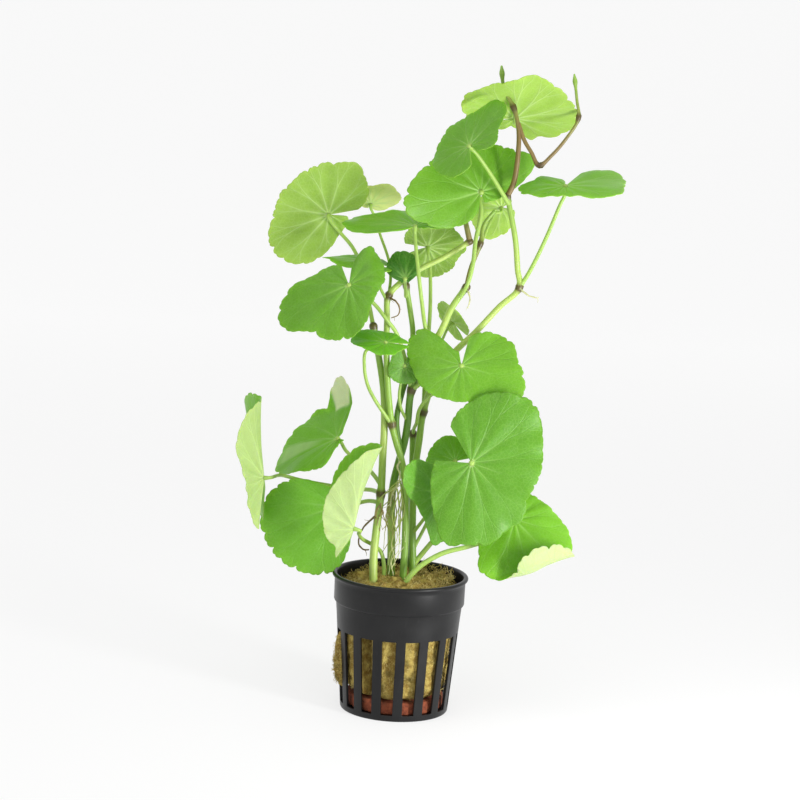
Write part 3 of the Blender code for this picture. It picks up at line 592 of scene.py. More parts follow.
def stem(name, points, radii, joints=(), tints=(STEM_GREEN, STEM_GREEN), brown=1.0, bud=False):
    """A tapered stem with a swelling and a brown band at each joint, given by the numbers of its points. The tints
    run from foot to tip."""
    path, arc = even_line(points, 0.8)
    radius = np.interp(arc, [0, arc[-1]], radii)
    tint = np.stack([np.interp(arc, np.linspace(0, arc[-1], len(tints)), [x[k] for x in tints]) for k in range(3)], 1)
    for joint in joints:
        at = arc[np.argmin(np.linalg.norm(path - np.array(points[joint]), axis=1))]
        radius = radius + 0.42 * np.exp(-(((arc - at) / 1.6) ** 2)) + 0.18 * np.exp(-(((arc - at - 0.8) / 0.4) ** 2))
        share = brown * np.clip(1.25 * np.exp(-(((arc - at) / 1.5) ** 4)), 0, 0.92)[:, None]
        tint = tint * (1 - share) + JOINT_BROWN * share
    if bud:
        near = arc[-1] - arc
        radius = radius + 0.42 * np.exp(-(((near - 2.6) / 1.5) ** 2)) - 0.2 * np.exp(-((near / 0.9) ** 2))
    cells, faces, order = rounded_tube(path, np.maximum(radius, 0.12))
    piece = lay_mesh("pennywort_" + name, cells, faces, [STEM_SKIN], smooth=180.0, marks={"tint": tint[order]})
    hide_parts(name)
    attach(piece, "root")
    return piece


FOOT = 42.0
stem("stem_left",
     [(-9.5, -8, FOOT), (-10.5, -7, 59), (-10, -6, 70.5), (-9, -4.5, 84.5), (-9, -3.5, 97), (-9, -2, 110),
      (-10, -2, 123.5), (-12.5, -2, 136.5), (-15, -2, 147.5)],
     (1.6, 1.2), joints=(3, 8), tints=(STEM_PALE, STEM_PALE, STEM_GREEN, STEM_PALE, STEM_GREEN, STEM_GREEN))
stem("stem_centre",
     [(0.8, -4, FOOT), (1.1, -4, 66), (0.4, -4, 82), (-0.8, -4, 93), (-2.2, -4, 98.5), (-4.3, -4, 104.4),
      (-6.2, -4, 111), (-8, -5, 122), (-9.5, -5, 137.5), (-10, -4, 150.5), (-10, -3, 159), (-6, -1, 164),
      (0.5, 1, 169), (10.5, 3, 174.5), (19.5, 5, 180.5)],
     (1.4, 1.0), joints=(6, 10, 14), tints=(STEM_DEEP, STEM_GREEN, STEM_GREEN, STEM_GREEN, STEM_PALE, STEM_PALE))
stem("stem_middle",
     [(-3.3, 1, FOOT), (-4.1, 1, 65), (-4.8, 1, 79), (-4.5, 1, 87), (-2.8, 1, 96), (-1.2, 1, 103),
      (-0.3, 1, 110.5), (0.5, 0, 123.5), (4, 0, 134.5), (10.5, -1, 147), (14, -2, 156), (19, -2, 164)],
     (1.6, 1.2), joints=(7, 11),
     tints=(STEM_FOOT, STEM_GREEN, STEM_PALE, STEM_DEEP, STEM_DEEP, STEM_DEEP, STEM_GREEN, STEM_PALE, STEM_GREEN))
stem("stem_right",
     [(5.5, 4, FOOT), (3.5, 4, 73), (3.5, 4, 92.5), (4.5, 4, 104), (5.5, 4, 115), (9.5, 3, 128.5),
      (16, 3, 138.5), (23.5, 3, 146.5), (32, 4, 156.5), (39, 4, 164), (38, 4, 171), (36.5, 3, 182),
      (32.5, 2, 198.5)],
     (1.5, 1.0), joints=(4, 9, 12), tints=(STEM_DEEP, STEM_GREEN, STEM_GREEN, STEM_PALE, STEM_PALE, STEM_GREEN))
stem("stem_rear",
     [(4, 8.5, FOOT), (3.6, 8.5, 63), (2.6, 8.5, 80), (2.3, 7.5, 95.5), (2, 6.6, 106)],
     (1.3, 1.2), joints=(1, 4), tints=(STEM_FOOT, STEM_DEEP, STEM_GREEN))
stem("stem_inner",
     [(-1.9, 1, 100), (-3.4, -0.5, 104.5), (-4.5, 0, 112), (-3.5, 2, 119.5), (-1, 4.5, 130.5), (0, 4, 144),
      (-1.5, 3, 153.5), (-3.5, 2, 163)],
     (1.1, 1.0), joints=(7,), tints=(STEM_DEEP, STEM_DEEP, STEM_GREEN, STEM_GREEN))


# Young shoots
# Past the last joints the stems go on as thin shoots, tinted reddish brown by the light. The two that lean to
# the right end in a closed bud.

stem("shoot_left",
     [(19.5, 5, 180.5), (17, 4, 190.5), (17, 3, 196)],
     (1.1, 0.8), tints=(SHOOT_BROWN, STEM_GREEN))
stem("shoot_middle",
     [(19, -2, 164), (20.5, 2.5, 171), (23.5, 4.5, 180), (24.5, 5.5, 187), (28, 6.5, 192)],
     (0.95, 0.7), joints=(2,), tints=(SHOOT_BROWN, STEM_GREEN))
stem("shoot_right",
     [(32.5, 2, 198.5), (34.5, 1, 203.5), (35.5, 0, 216), (35, 0, 224), (33, 0, 231), (30, 0, 236),
      (28.5, 0, 239.5), (27.5, 0, 246.2)],
     (1.1, 0.6), joints=(4,), tints=(SHOOT_BROWN, SHOOT_BROWN, STEM_GREEN), bud=True)
stem("shoot_side",
     [(35, 0, 225.5), (37.5, 0, 219.5), (40.5, 0, 215), (43.5, 0, 210.5), (48, 0, 214.5), (53, 0, 221),
      (57, 0, 228.5), (56, 0, 235.5), (54.5, 0, 244.6)],
     (0.8, 0.5), joints=(3, 6), tints=(SHOOT_BROWN, SHOOT_BROWN, STEM_GREEN), bud=True)


# Roots at the joints
# Thin water roots, pale cream or brown, that grow from the joints and hang free with a few finer branches each.
# Bunches of still finer ones fill the gap between the stems over the wool.

ROOT_PALE = paint(196, 196, 150)
ROOT_BROWN = paint(122, 98, 56)
TWIG_PAST = 3.0


def root(name, points, radii, tint, twigs, seed, size=3.0):
    """A thin kinked tube along the points, and twigs: shorter tubes that leave it at even places and wander off, but
    no farther than TWIG_PAST beyond the solid's box."""
    rng = np.random.default_rng(seed)
    path, arc = even_line(points, 0.5)
    path = path + 0.12 * lattice_noise(path[:, None] * np.ones((1, 3, 1)) + np.arange(3)[:, None] * 31, 1.3, seed)
    radius = np.interp(arc, [0, arc[-1]], radii) * (1 + 0.15 * lattice_noise(path, 0.8, seed + 1))
    parts = [rounded_tube(path, radius, 8)]
    for at in np.linspace(0.15, 0.95, twigs):
        start = path[int(at * (len(path) - 1))]
        heading = rng.normal(0, 1, 3) * (1.0, 0.5, 0.6) + (0, 0, -0.9)
        heading *= size * rng.uniform(0.5, 1.0) / np.linalg.norm(heading)
        bend = rng.normal(0, 0.25, 3) * size
        twig, _ = even_line([start, start + heading * 0.5 + bend * 0.4, start + heading], 0.5)
        parts.append(rounded_tube(twig, np.linspace(radii[1] * 0.55, radii[1] * 0.25, len(twig)), 6))
    cells, faces = join_grids(*[(p, f) for p, f, _ in parts])
    low, high = (np.array(corner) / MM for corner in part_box(name))
    cells = np.clip(cells, low - TWIG_PAST, high + TWIG_PAST)
    marks = {"tint": np.tile(tint, (len(cells), 1))}
    piece = lay_mesh("pennywort_" + name, cells, faces, [STEM_SKIN], smooth=180.0, marks=marks)
    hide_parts(name)
    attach(piece, "root")


root("root_right",
     [(38.8, 3.4, 164.4), (40.6, 1.6, 162.9), (43.2, 1.4, 161.4), (46.2, 1.4, 161)],
     (0.45, 0.25), ROOT_PALE, 2, 31)
root("root_middle",
     [(19, -2.4, 163.6), (20.4, -4.2, 160.8), (20.3, -4.4, 158.4), (19.9, -4.4, 156.4)],
     (0.4, 0.18), ROOT_PALE, 3, 32)
root("root_centre",
     [(-9.8, -3.6, 158.8), (-7.1, -6.2, 157.9), (-5.5, -6.6, 155.3), (-6, -6.6, 152.7), (-8.4, -6.6, 151.5)],
     (0.4, 0.2), ROOT_BROWN, 3, 33)
root("root_hanging",
     [(-1.9, -4.4, 97.6), (-3.2, -6.6, 95.4), (-2.1, -6.8, 92), (-2.8, -6.8, 88), (-4.6, -6.8, 85),
      (-5.2, -6.8, 80)],
     (0.4, 0.25), ROOT_PALE, 5, 34, 6.0)
root("root_loop",
     [(-10.2, -6.3, 76.4), (-12.6, -4.6, 73.6), (-15, -2.8, 70.4), (-16.3, -2.4, 67), (-16.3, -2.4, 63.6),
      (-14.8, -3.2, 62.2), (-12.6, -4.4, 62.4)],
     (0.4, 0.28), ROOT_BROWN, 3, 35)


def threads(name, bunches, seed):
    """Bunches of fine roots: each runs from a random place in its upper box to one in its lower box, swaying aside
    twice on its way, and tapers."""
    rng = np.random.default_rng(seed)
    parts, tints = [], []
    for count, upper, lower, width, tint in bunches:
        for start, end in zip(rng.uniform(*upper, (count, 3)), rng.uniform(*lower, (count, 3))):
            sway = rng.normal(0, 1.3, (2, 3)) * (1.0, 0.35, 0.6)
            upper_bend = 0.66 * start + 0.34 * end + sway[0]
            lower_bend = 0.3 * start + 0.7 * end + sway[1]
            path, arc = even_line([start, upper_bend, lower_bend, end], 0.7)
            radius = width * rng.uniform(0.6, 1.2) * np.interp(arc, [0, arc[-1]], [1.0, 0.45])
            points, faces, _ = rounded_tube(path + 0.1 * lattice_noise(path, 1.1, seed)[:, None], radius, 6)
            parts.append((points, faces))
            tints.append(np.tile(tint * rng.uniform(0.75, 1.15), (len(points), 1)))
    points, faces = join_grids(*parts)
    piece = lay_mesh(name, points, faces, [STEM_SKIN], smooth=180.0, marks={"tint": np.concatenate(tints)})
    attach(piece, "root")


threads("fine_roots", [
    (7, ((-4.6, -6.4, 84), (-1.0, -5.8, 92)), ((-6.2, -6.2, 57), (-0.6, -3.5, 72)), 0.32, paint(176, 192, 104)),
    (7, ((-5.4, -4.5, 80), (-3.6, -1.5, 86)), ((-7.6, -4.0, 58), (-3.2, -1.6, 74)), 0.3, paint(156, 156, 88)),
    (6, ((-9.6, -7.2, 79), (-7.4, -6.8, 82)), ((-11.0, -8.2, 62), (-6.2, -6.6, 74)), 0.22, paint(150, 134, 82)),
    (4, ((-2.6, -6.4, 88), (-1.6, -6.0, 91)), ((-10.2, -7.6, 80), (-7.0, -6.8, 82)), 0.26, paint(170, 188, 92)),
    (5, ((-5.0, -6.0, 52), (0.5, -5.0, 58)), ((-5.2, -6.2, 66), (0.8, -6.0, 74)), 0.16, paint(206, 214, 150)),
], 41)


# Leaves
# Each leaf is a round thin blade with a narrow cleft, scalloped all round, on a long stalk that joins it at
# the head of the cleft. Veins radiate from there and fork twice. The upper side is mid green with a soft
# gloss; the underside is paler, and light shines through both.

VEINS = 11


def leaf_frame(turn, lean, tip):
    """Columns: the midrib's direction, the side direction and the upper side's normal. turn carries the normal from
    the front towards the direction lean, and tip is where the midrib points; both are angles from +X in the XZ
    plane."""
    turn, lean, tip = np.radians([turn, lean, tip])
    normal = np.array([math.sin(turn) * math.cos(lean), -math.cos(turn), math.sin(turn) * math.sin(lean)])
    ahead = np.array([math.cos(tip), 0.0, math.sin(tip)])
    ahead = ahead - normal * ahead.dot(normal)
    ahead /= np.linalg.norm(ahead)
    return np.stack([ahead, np.cross(normal, ahead), normal], axis=1)


def through(values, t):
    """A smooth curve through evenly spaced values, by Catmull-Rom cubics, for t from -1 to 1."""
    values = np.asarray(values, float)
    last = len(values) - 1
    u = (t + 1) / 2 * last
    i = np.minimum(u.astype(int), last - 1)
    f = u - i
    padded = np.concatenate([[2 * values[0] - values[1]], values, [2 * values[-1] - values[-2]]])
    a, b, c, d = (padded[i + k] for k in range(4))
    return 0.5 * (2 * b + (c - a) * f + (2 * a - 5 * b + 4 * c - d) * f**2 + (3 * b - a - 3 * c + d) * f**3)


def folded(points, direction, offset, radius, angle):
    """The points carried round a bend whose line lies at the offset in the direction: past it they run along an arc
    of this radius up to the angle, and straight on after that. A positive angle rises to the upper side."""
    along = np.array([math.cos(math.radians(direction)), math.sin(math.radians(direction)), 0.0])
    past = np.maximum(points @ along - offset, 0.0)
    sign = math.copysign(1.0, angle)
    total = math.radians(abs(angle))
    turned = np.minimum(past / radius, total)
    rest = np.maximum(past - radius * total, 0.0)
    height = points[..., 2] * sign
    ahead = radius * np.sin(turned) + rest * np.cos(turned) - height * np.sin(turned)
    up = radius * (1 - np.cos(turned)) + rest * np.sin(turned) + height * np.cos(turned)
    moved = points + along * (ahead - past)[..., None]
    moved[..., 2] += (up - height) * sign
    return moved


def scallops(t, teeth, depth, rng):
    """How far the margin stands in from the outline, from 0 to about depth: rounded teeth between sharp notches,
    of uneven width and depth, each with a shallow dent at its middle."""
    phase = (t + 1) / 2 * teeth
    phase = phase + np.interp(phase, np.arange(teeth + 2), rng.uniform(-0.22, 0.22, teeth + 2))
    strength = depth * np.interp(phase, np.arange(teeth + 2), rng.uniform(0.45, 1.6, teeth + 2))
    local = phase - np.floor(phase)
    tooth = np.sin(math.pi * local) ** 0.55
    dent = 0.28 * np.exp(-(((local - 0.5) / 0.1) ** 2))
    return strength * (1 - tooth + dent)


def leaf_skin(name, under):
    """The leaf's tint, mottled, with pale veins: around each whole number of cell lies a vein, which forks where
    reach passes a value drawn for that vein and again nearer the margin; span turns cells into millimetres."""
    look, tree, shader = new_look(name, (0.2, 0.4, 0.06), 0.5 if under else 0.38)
    flesh(shader, 0.45, 1.3, (0.9, 1.25, 0.25))
    shader.inputs["Specular IOR Level"].default_value = 0.15 if under else 0.22
    cell, reach, span = (mark(tree, key)[1] for key in ("cell", "reach", "span"))
    tint = mark(tree, "tint")[0]
    nearest = calc(tree, "ROUND", cell)
    drawn = node(tree, "ShaderNodeTexWhiteNoise", {"W": nearest}, noise_dimensions="1D").outputs[0]
    local = calc(tree, "ABSOLUTE", less(tree, cell, nearest))
    fork = plus(tree, 0.26, times(tree, drawn, 0.22))
    spread = times(tree, calc(tree, "MAXIMUM", less(tree, reach, fork), 0.0), 0.42)
    first = calc(tree, "ABSOLUTE", less(tree, local, calc(tree, "MINIMUM", spread, 0.25)))
    late = plus(tree, fork, 0.34)
    spread = times(tree, calc(tree, "MAXIMUM", less(tree, reach, late), 0.0), 0.45)
    second = calc(tree, "ABSOLUTE", less(tree, first, calc(tree, "MINIMUM", spread, 0.125)))
    off = times(tree, times(tree, second, reach), span)
    wide = less(tree, 0.34, times(tree, reach, 0.22))
    vein = less(tree, 1.0, fade(tree, calc(tree, "DIVIDE", off, wide), 0.25, 1.2))
    halo = less(tree, 1.0, fade(tree, off, 0.0, 1.4))
    place = node(tree, "ShaderNodeTexCoord").outputs["Object"]
    cracks = node(tree, "ShaderNodeTexVoronoi", {"Vector": place, "Scale": 750.0}, feature="DISTANCE_TO_EDGE")
    net = less(tree, 1.0, fade(tree, cracks.outputs[0], 0.0, 0.12))
    mottle = grain(tree, 5.0, 5.0, 0.6)
    fine = grain(tree, 0.7, 3.0)
    shade = plus(tree, 0.8, plus(tree, times(tree, mottle, 0.28), times(tree, fine, 0.12)))
    base = blend(tree, 1.0, tint, shade, "MULTIPLY")
    inner = less(tree, 1.0, fade(tree, reach, 0.0, 1.0 if under else 0.55))
    near = plus(tree, 0.25 if under else 0.1, times(tree, inner, 0.75 if under else 0.7))
    veining = mark(tree, "veining")[1]
    line = times(tree, times(tree, vein, near), veining)
    pale = (0.5, 0.66, 0.26) if under else (0.36, 0.58, 0.16)
    glow = times(tree, times(tree, halo, near), times(tree, veining, 0.3))
    base = blend(tree, glow, base, pale)
    base = blend(tree, times(tree, line, 0.75, clamp=True), base, pale)
    base = blend(tree, times(tree, net, 0.14 if under else 0.1), base, pale)
    eye = less(tree, 1.0, fade(tree, reach, 0.015, 0.07))
    base = blend(tree, times(tree, eye, 0.8), base, (0.55, 0.66, 0.3))
    tree.links.new(base, shader.inputs["Base Color"])
    rough = plus(tree, 0.4 if under else 0.26, times(tree, mottle, 0.24))
    tree.links.new(rough, shader.inputs["Roughness"])
    sunk = 1.0 if under else -1.0
    height = plus(tree, times(tree, vein, 0.8 * sunk), times(tree, net, 0.18 * sunk))
    height = plus(tree, height, times(tree, fine, 0.3))
    relief(tree, shader, height, 0.22, 0.5)
    return look


LEAF_UPPER = leaf_skin("leaf_upper_skin", False)
LEAF_UNDER = leaf_skin("leaf_under_skin", True)
UPPER = paint(110, 166, 40)
UNDER = paint(158, 192, 84)
STALK_TINT = paint(160, 192, 94)
LEAF_THICKNESS = 0.42


def leaf(name, at, facing, reach, stalk, sinus=20, bends=(), teeth=20, depth=0.045, seed=0, upper=UPPER, under=UNDER,
         tinted=None, veining=1.0, stalk_radii=(0.65, 0.85)):
    """The blade is a fan: along each ray from the stalk the distance goes from 0 to the outline's radius there, which
    runs smoothly through the given values and is scalloped. It dips to a shallow cup, waves five times round, puffs
    between its veins, and is then bent. Its two sides stand half the thickness off that surface along its normal."""
    rng = np.random.default_rng(seed)
    rings, rays = 36, 12 * teeth + 1
    t = np.linspace(-1, 1, rays)
    q = (np.linspace(0, 1, rings) ** 0.85)[:, None]
    mean = float(np.mean(reach))
    angle = math.radians(180 - sinus) * t
    outline = through(reach, t)
    inset = scallops(t, teeth, depth, rng) * np.clip(outline / mean, 0.5, 1.2)
    radius = q * outline * (1 - inset * q**5)
    cell = t * VEINS / 2 + 0.5
    drift = np.interp(t, np.linspace(-1, 1, 9), rng.uniform(-0.12, 0.12, 9))
    flat = np.stack([radius * np.cos(angle), radius * np.sin(angle), 0 * radius + 7.0 * seed], -1)
    cup = mean * (radius / mean) ** 2 * (-0.06 + 0.03 * np.sin(5 * angle))
    puff = 0.016 * mean * np.sin(math.pi * cell) ** 2 * np.sin(math.pi * q) ** 0.7
    crimp = 0.018 * mean * q**6 * np.sin(math.pi * teeth * (t + 1) / 2)
    height = cup + puff + 0.3 * lattice_noise(flat, 6.0, 40) * q + crimp
    blade = np.concatenate([flat[..., :2], height[..., None]], axis=-1)
    for bend in bends:
        blade = folded(blade, *bend)
    normal = np.cross(np.gradient(blade, axis=0), np.gradient(blade, axis=1))
    normal[0] = normal[1:3].mean((0, 1))
    normal /= np.linalg.norm(normal, axis=-1, keepdims=True)
    half = LEAF_THICKNESS / 2 * (1 - 0.55 * q**10)[..., None] * normal
    stand = leaf_frame(*facing)
    both = np.concatenate([blade + half, (blade - half)[::-1]]) @ stand.T + np.array(at, float)

    faces = grid_faces(2 * rings, rays).reshape(-1, 4)
    i = np.arange(rings - 1)
    cleft = [np.stack([i * rays + j, (i + 1) * rays + j, (2 * rings - 2 - i) * rays + j,
                       (2 * rings - 1 - i) * rays + j], -1) for j in (0, rays - 1)]
    line, arc = even_line([at, np.array(at) - 2.5 * stand[:, 2], *stalk], 1.0)
    size = np.interp(arc, [0, arc[-1]], stalk_radii)
    size += 0.35 * np.exp(-((arc / 1.2) ** 2)) + 0.15 * np.exp(-(((arc - arc[-1]) / 2.0) ** 2))
    tube, tube_faces, _ = rounded_tube(line, size, 14)
    points, faces = join_grids((both.reshape(-1, 3), np.concatenate([faces, *cleft])), (tube, tube_faces))
    sides = np.repeat(np.repeat([0, 0, 1], [rings - 1, 1, rings - 1]), rays - 1)
    looks = np.concatenate([sides, np.zeros(2 * (rings - 1)), np.full(len(tube_faces), 2)])

    reached = np.broadcast_to(np.concatenate([q, q[::-1]]), (2 * rings, rays)).reshape(-1)
    cells = np.broadcast_to(cell + drift + 40.0 * seed, (2 * rings, rays)).reshape(-1)
    tint = np.concatenate([np.tile(upper, (rings * rays, 1)), np.tile(under, (rings * rays, 1))])
    if tinted is not None:
        places = np.concatenate([blade, blade[::-1]]).reshape(-1, 3)
        tint = tinted(tint, places, reached, np.tile(np.degrees(angle), 2 * rings))
    rest = np.zeros(len(tube))
    marks = {"cell": np.concatenate([cells, rest]), "reach": np.concatenate([reached, rest]),
             "span": np.full(len(points), mean * 2 * math.radians(180 - sinus) / VEINS),
             "veining": np.full(len(points), veining),
             "tint": np.concatenate([tint, np.tile(STALK_TINT, (len(tube), 1))])}
    piece = lay_mesh("pennywort_" + name, points, faces, [LEAF_UPPER, LEAF_UNDER, STEM_SKIN], smooth=180.0,
                     face_look=looks, marks=marks)
    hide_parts(name)
    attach(piece, "root")
    return piece


# Leaves of the shoots at the top
# The youngest leaves, light and thin, on the two leaning shoots. Two of the five turn their undersides to the
# front.

leaf("leaf_top_right", (34, 10, 227), (132, 90, 15),
     (16, 20.5, 23.5, 22.5, 23.5, 25.5, 28, 26, 25, 25, 24, 22.5, 18.5, 13.5, 13, 7, 4.5, 5, 8, 13, 15),
     [(33.5, 5, 229.5), (33, 0, 231.5)],
     sinus=6, teeth=22, seed=1, stalk_radii=(0.6, 0.65))
leaf("leaf_top_left", (17, -14, 217), (50, 130, 130),
     (5, 11, 12.5, 22, 17.5, 16, 15, 16, 15, 13, 9),
     [(19, -12, 215), (25, -7, 207.5), (33.2, 2.1, 195.5)],
     sinus=22, teeth=20, seed=2, upper=paint(102, 154, 42))
leaf("leaf_upper_middle", (22.5, 0, 199.5), (35, 30, 90),
     (4, 4.5, 5, 7, 10, 17, 30.5, 25.5, 22, 20, 19, 19, 19.5, 21.5, 24.5, 29.5, 33.5, 27, 20, 13.5, 7),
     [(23, 0.5, 193), (21.5, -1.5, 181.5), (20.8, -3.8, 172), (19.2, -4.4, 165), (16.8, -2.4, 160.2)],
     sinus=15, teeth=26, seed=3, upper=paint(107, 159, 42), stalk_radii=(0.85, 0.75))
leaf("leaf_upper_rear", (31, 16, 193), (140, 90, 200),
     (5, 6, 7, 9, 11.5, 14, 17, 16.5, 14, 13, 12, 12, 12.5, 10.5, 9, 9, 8.5, 8, 7, 6, 5),
     [(28.5, 12.5, 191), (26, 9.5, 185.5), (23.6, 4.5, 179.5)],
     sinus=25, teeth=16, seed=4, stalk_radii=(0.5, 0.6))
leaf("leaf_upper_right", (53.5, -4, 203.5), (70, 98, -88),
     (5, 9, 13.5, 15, 18.5, 17.5, 15, 13, 10.5, 8.5, 8, 8.5, 9, 10.5, 16, 21.5, 22, 23, 25.5, 23.5, 13.5),
     [(52, -3, 196.5), (47.5, 0, 183), (42.5, 3, 170.5), (39, 4, 164)],
     sinus=14, teeth=20, seed=5, upper=paint(126, 180, 60))


# Leaves of the upper stems
# A crowded tier around the forks of the tall stems. The large leaf at the left is bent back along one side, and
# the young one is still half closed.

leaf("leaf_upper_left", (-34, 9.5, 187.4), (158, 90, 188),
     (7, 8, 8, 8.5, 10, 14, 20, 25, 26, 25, 22, 20.5, 20.5, 20, 21, 22, 23, 25.5, 21.5, 17.5, 11.5),
     [(-31, 10.5, 182.4), (-24.5, 10, 175.5), (-20.5, 7.2, 168), (-17.5, 1.5, 157), (-14.8, -2, 146.5)],
     sinus=8, teeth=24, seed=6, under=paint(146, 178, 78))
leaf("leaf_left_rear", (-18.5, 18, 191.4), (150, 90, 85),
     (2, 3, 5, 8, 10, 9.5, 12.5, 12.5, 7, 4, 2),
     [(-17.5, 16.5, 188.4), (-14.5, 14.5, 180.8), (-10.5, 9, 171.2), (-9.5, 3, 165), (-10, -3, 158.5)],
     sinus=25, teeth=14, seed=7, under=paint(208, 219, 147), stalk_radii=(0.5, 0.6))
leaf("leaf_level", (-1.3, -6, 185.9), (68, 90, 90),
     (2.5, 3, 4, 6.5, 12.5, 16.5, 15.5, 14, 13.5, 14, 14, 14.5, 16, 18.5, 23.5, 27.5, 28, 26.5, 21, 9, 3),
     [(-0.5, -6.5, 177.5), (1.4, -9, 165.5), (2.8, -6, 157), (3.9, -1.6, 150.5), (4.9, -0.7, 146),
      (6.6, -1.7, 134), (4.2, -2, 127.5), (1, -0.5, 124.2)],
     sinus=50, teeth=20, seed=8)
leaf("leaf_middle_rear", (4, 18, 176.4), (138, 90, 10),
     (9, 12, 14, 15, 15, 15, 13, 15, 17, 14, 9),
     [(5, 16.5, 170.4), (6, 13, 156.6), (6, 11, 146), (5.5, 9.5, 131), (5.5, 4, 114)],
     sinus=20, teeth=18, seed=9, under=paint(128, 160, 64))
leaf("leaf_left_sliver", (-16.5, -1.8, 171.2), (80, 80, 190),
     (7, 9, 10, 10, 12, 19, 15, 9, 8, 8, 8),
     [(-15, -2.8, 166.8), (-13, -3.8, 162), (-10, -3.4, 157)],
     sinus=20, teeth=16, seed=10, stalk_radii=(0.5, 0.6))
leaf("leaf_young", (-4, -5.6, 166.1), (35, 90, 95),
     (2, 2, 3, 6, 11, 13.5, 11, 8, 3.5, 2, 2),
     [(-3.3, 2, 159)],
     sinus=35, teeth=12, seed=11, upper=paint(62, 118, 36), stalk_radii=(0.6, 0.7))
leaf("leaf_left", (-24.5, -16, 164), (30, 120, -75),
     (8.5, 11, 12.5, 15.5, 24, 29.5, 29, 23, 22, 21, 19.5, 16.5, 12.5, 11.5, 11.5, 13, 15.5, 17, 18, 16.5, 8),
     [(-22, -12, 161), (-15.5, -8, 157), (-9.8, -7.3, 150.5), (-6.2, -4.4, 145.5), (-2.2, -2.6, 135),
      (0.4, 0, 124)],
     sinus=14, bends=((90, 7, 6, -50),), teeth=24, seed=12, upper=paint(100, 152, 40), veining=0.6)


# Leaves of the middle
# Smaller leaves at the lower joints, and a broad one that faces the front.

leaf("leaf_right_small", (15, 13, 148.5), (120, 45, 135),
     (8.5, 9, 9, 8, 7, 6, 6.5, 7, 6.5, 7, 8.5, 10, 11.5, 14.5, 13, 10, 9.5, 10, 9, 8, 7.5),
     [(10.5, 9, 140.5), (5, 5, 131), (0.5, 0, 122.5)],
     sinus=15, teeth=14, seed=13, stalk_radii=(0.5, 0.6))
leaf("leaf_middle_small", (-10, -17.5, 143.5), (62, 90, 180),
     (9, 7, 7.5, 9, 13.5, 12.5, 8, 7.5, 7.5, 7, 9),
     [(-17, -11, 139.5), (-17.5, -8, 132.5), (-16, -7.5, 126), (-13, -7.5, 120.5), (-6, -4, 110.5)],
     sinus=6, teeth=16, seed=14, upper=paint(105, 174, 32), stalk_radii=(0.55, 0.75))
leaf("leaf_right", (18.6, -9, 135.2), (25, 90, -90),
     (5.5, 8, 20, 22.5, 21, 18.5, 17.5, 16.5, 15, 14, 14, 14.5, 16, 19.5, 25.5, 24, 21.5, 22, 19.5, 16, 12),
     [(17, -7, 131), (12.3, -4.6, 126.3), (6.6, -3, 121.3), (3.8, -1.2, 116.4), (3.1, 1.5, 111),
      (2.2, 4.6, 108), (2, 6.6, 104.5)],
     sinus=12, teeth=24, seed=15, upper=paint(103, 155, 38), veining=0.5, stalk_radii=(0.65, 0.7))
leaf("leaf_shaded", (-2.5, -5.2, 133.6), (20, 0, -90),
     (6, 6.5, 6, 7, 7, 7, 7.5, 7.5, 7.5, 6.5, 5),
     [(-3.5, -2.5, 128), (-4, -2, 121.5), (-3, -1, 116.5), (0, 1, 111)],
     sinus=15, teeth=14, seed=16, upper=paint(96, 146, 52), stalk_radii=(0.5, 0.6))


# Leaves over the pot
# The largest and oldest leaves, some curled. Two have stalks that go down into the wool.


def painted_sheen_flap(tint, spot, out, turn):
    """A painted highlight: the strip past the fold, 17 mm out between -92 and -116 degrees, is painted a pale
    grey-green sheen, and so is a band on the blade from -34 to -16 degrees."""
    far = np.hypot(spot[:, 0], spot[:, 1])
    strip = np.clip((far - 15.5) / 2, 0, 1) * np.clip((12.5 - np.abs(turn + 104.5)) / 3, 0, 1)
    across = np.clip((9 - np.abs(turn + 25)) / 4, 0, 1)
    band = 0.32 * across * np.clip((out - 0.2) * 4, 0, 1) * np.clip((0.98 - out) * 8, 0, 1)
    share = np.maximum(strip, band)[:, None]
    # Painted highlight: the strip and the band are blended towards a pale grey-green sheen.
    return tint * (1 - share) + np.array(paint(206, 216, 180)) * share


# The raised left leaf: its folded strip and a band across its blade carry a painted pale grey-green highlight.
leaf("leaf_left_raised", (-26.5, 4.5, 102.8), (58, 130, 200),
     (3, 8, 27, 28, 20.5, 23, 23.5, 28, 31.5, 32.5, 26.5, 19.5, 16, 13.5, 8, 4.5, 3.5, 3, 3, 3, 3),
     [(-23, 4, 98.3), (-13.5, -0.5, 92), (-9, -4.4, 87.5)],
     sinus=40, bends=((-105, 17, 2, 35),), teeth=20, seed=17, tinted=painted_sheen_flap, veining=0.6)
leaf("leaf_front", (24, -22, 101), (12, 90, -30),
     (13.5, 15, 17, 20, 25, 31.5, 30.5, 31, 28.5, 28.5, 25, 25.5, 26.5, 27.5, 30, 32.5, 30.5, 27.5, 23.5, 20, 16),
     [(24, -16, 93), (23, -8, 84), (21, -1, 76), (12.5, 4, 66), (4.7, 4, 55.5)],
     sinus=28, teeth=28, depth=0.035, seed=18, upper=paint(89, 140, 38), veining=0.55, stalk_radii=(0.75, 1.0))
leaf("leaf_behind_front", (18.5, -1, 97.5), (30, 90, 170),
     (8, 9, 10, 11, 11, 11, 12, 12, 11, 9, 8),
     [(16.5, 1, 92), (13, 4, 82), (8.5, 5, 70.5), (4, 4, 60.5)],
     sinus=25, teeth=14, seed=19, upper=paint(103, 156, 36), stalk_radii=(0.55, 0.7))
leaf("leaf_low_turned", (13.5, -9, 86.5), (45, 0, 200),
     (6, 7, 8, 10.5, 13, 18, 21.5, 21, 16.5, 13, 12, 12, 13, 15, 20.5, 20, 17, 12.5, 8, 7, 6),
     [(11.5, -5, 82), (8, -1, 75), (3.7, 4, 67.5)],
     sinus=25, teeth=18, depth=0.03, seed=20, upper=paint(92, 146, 42), stalk_radii=(0.55, 0.7))
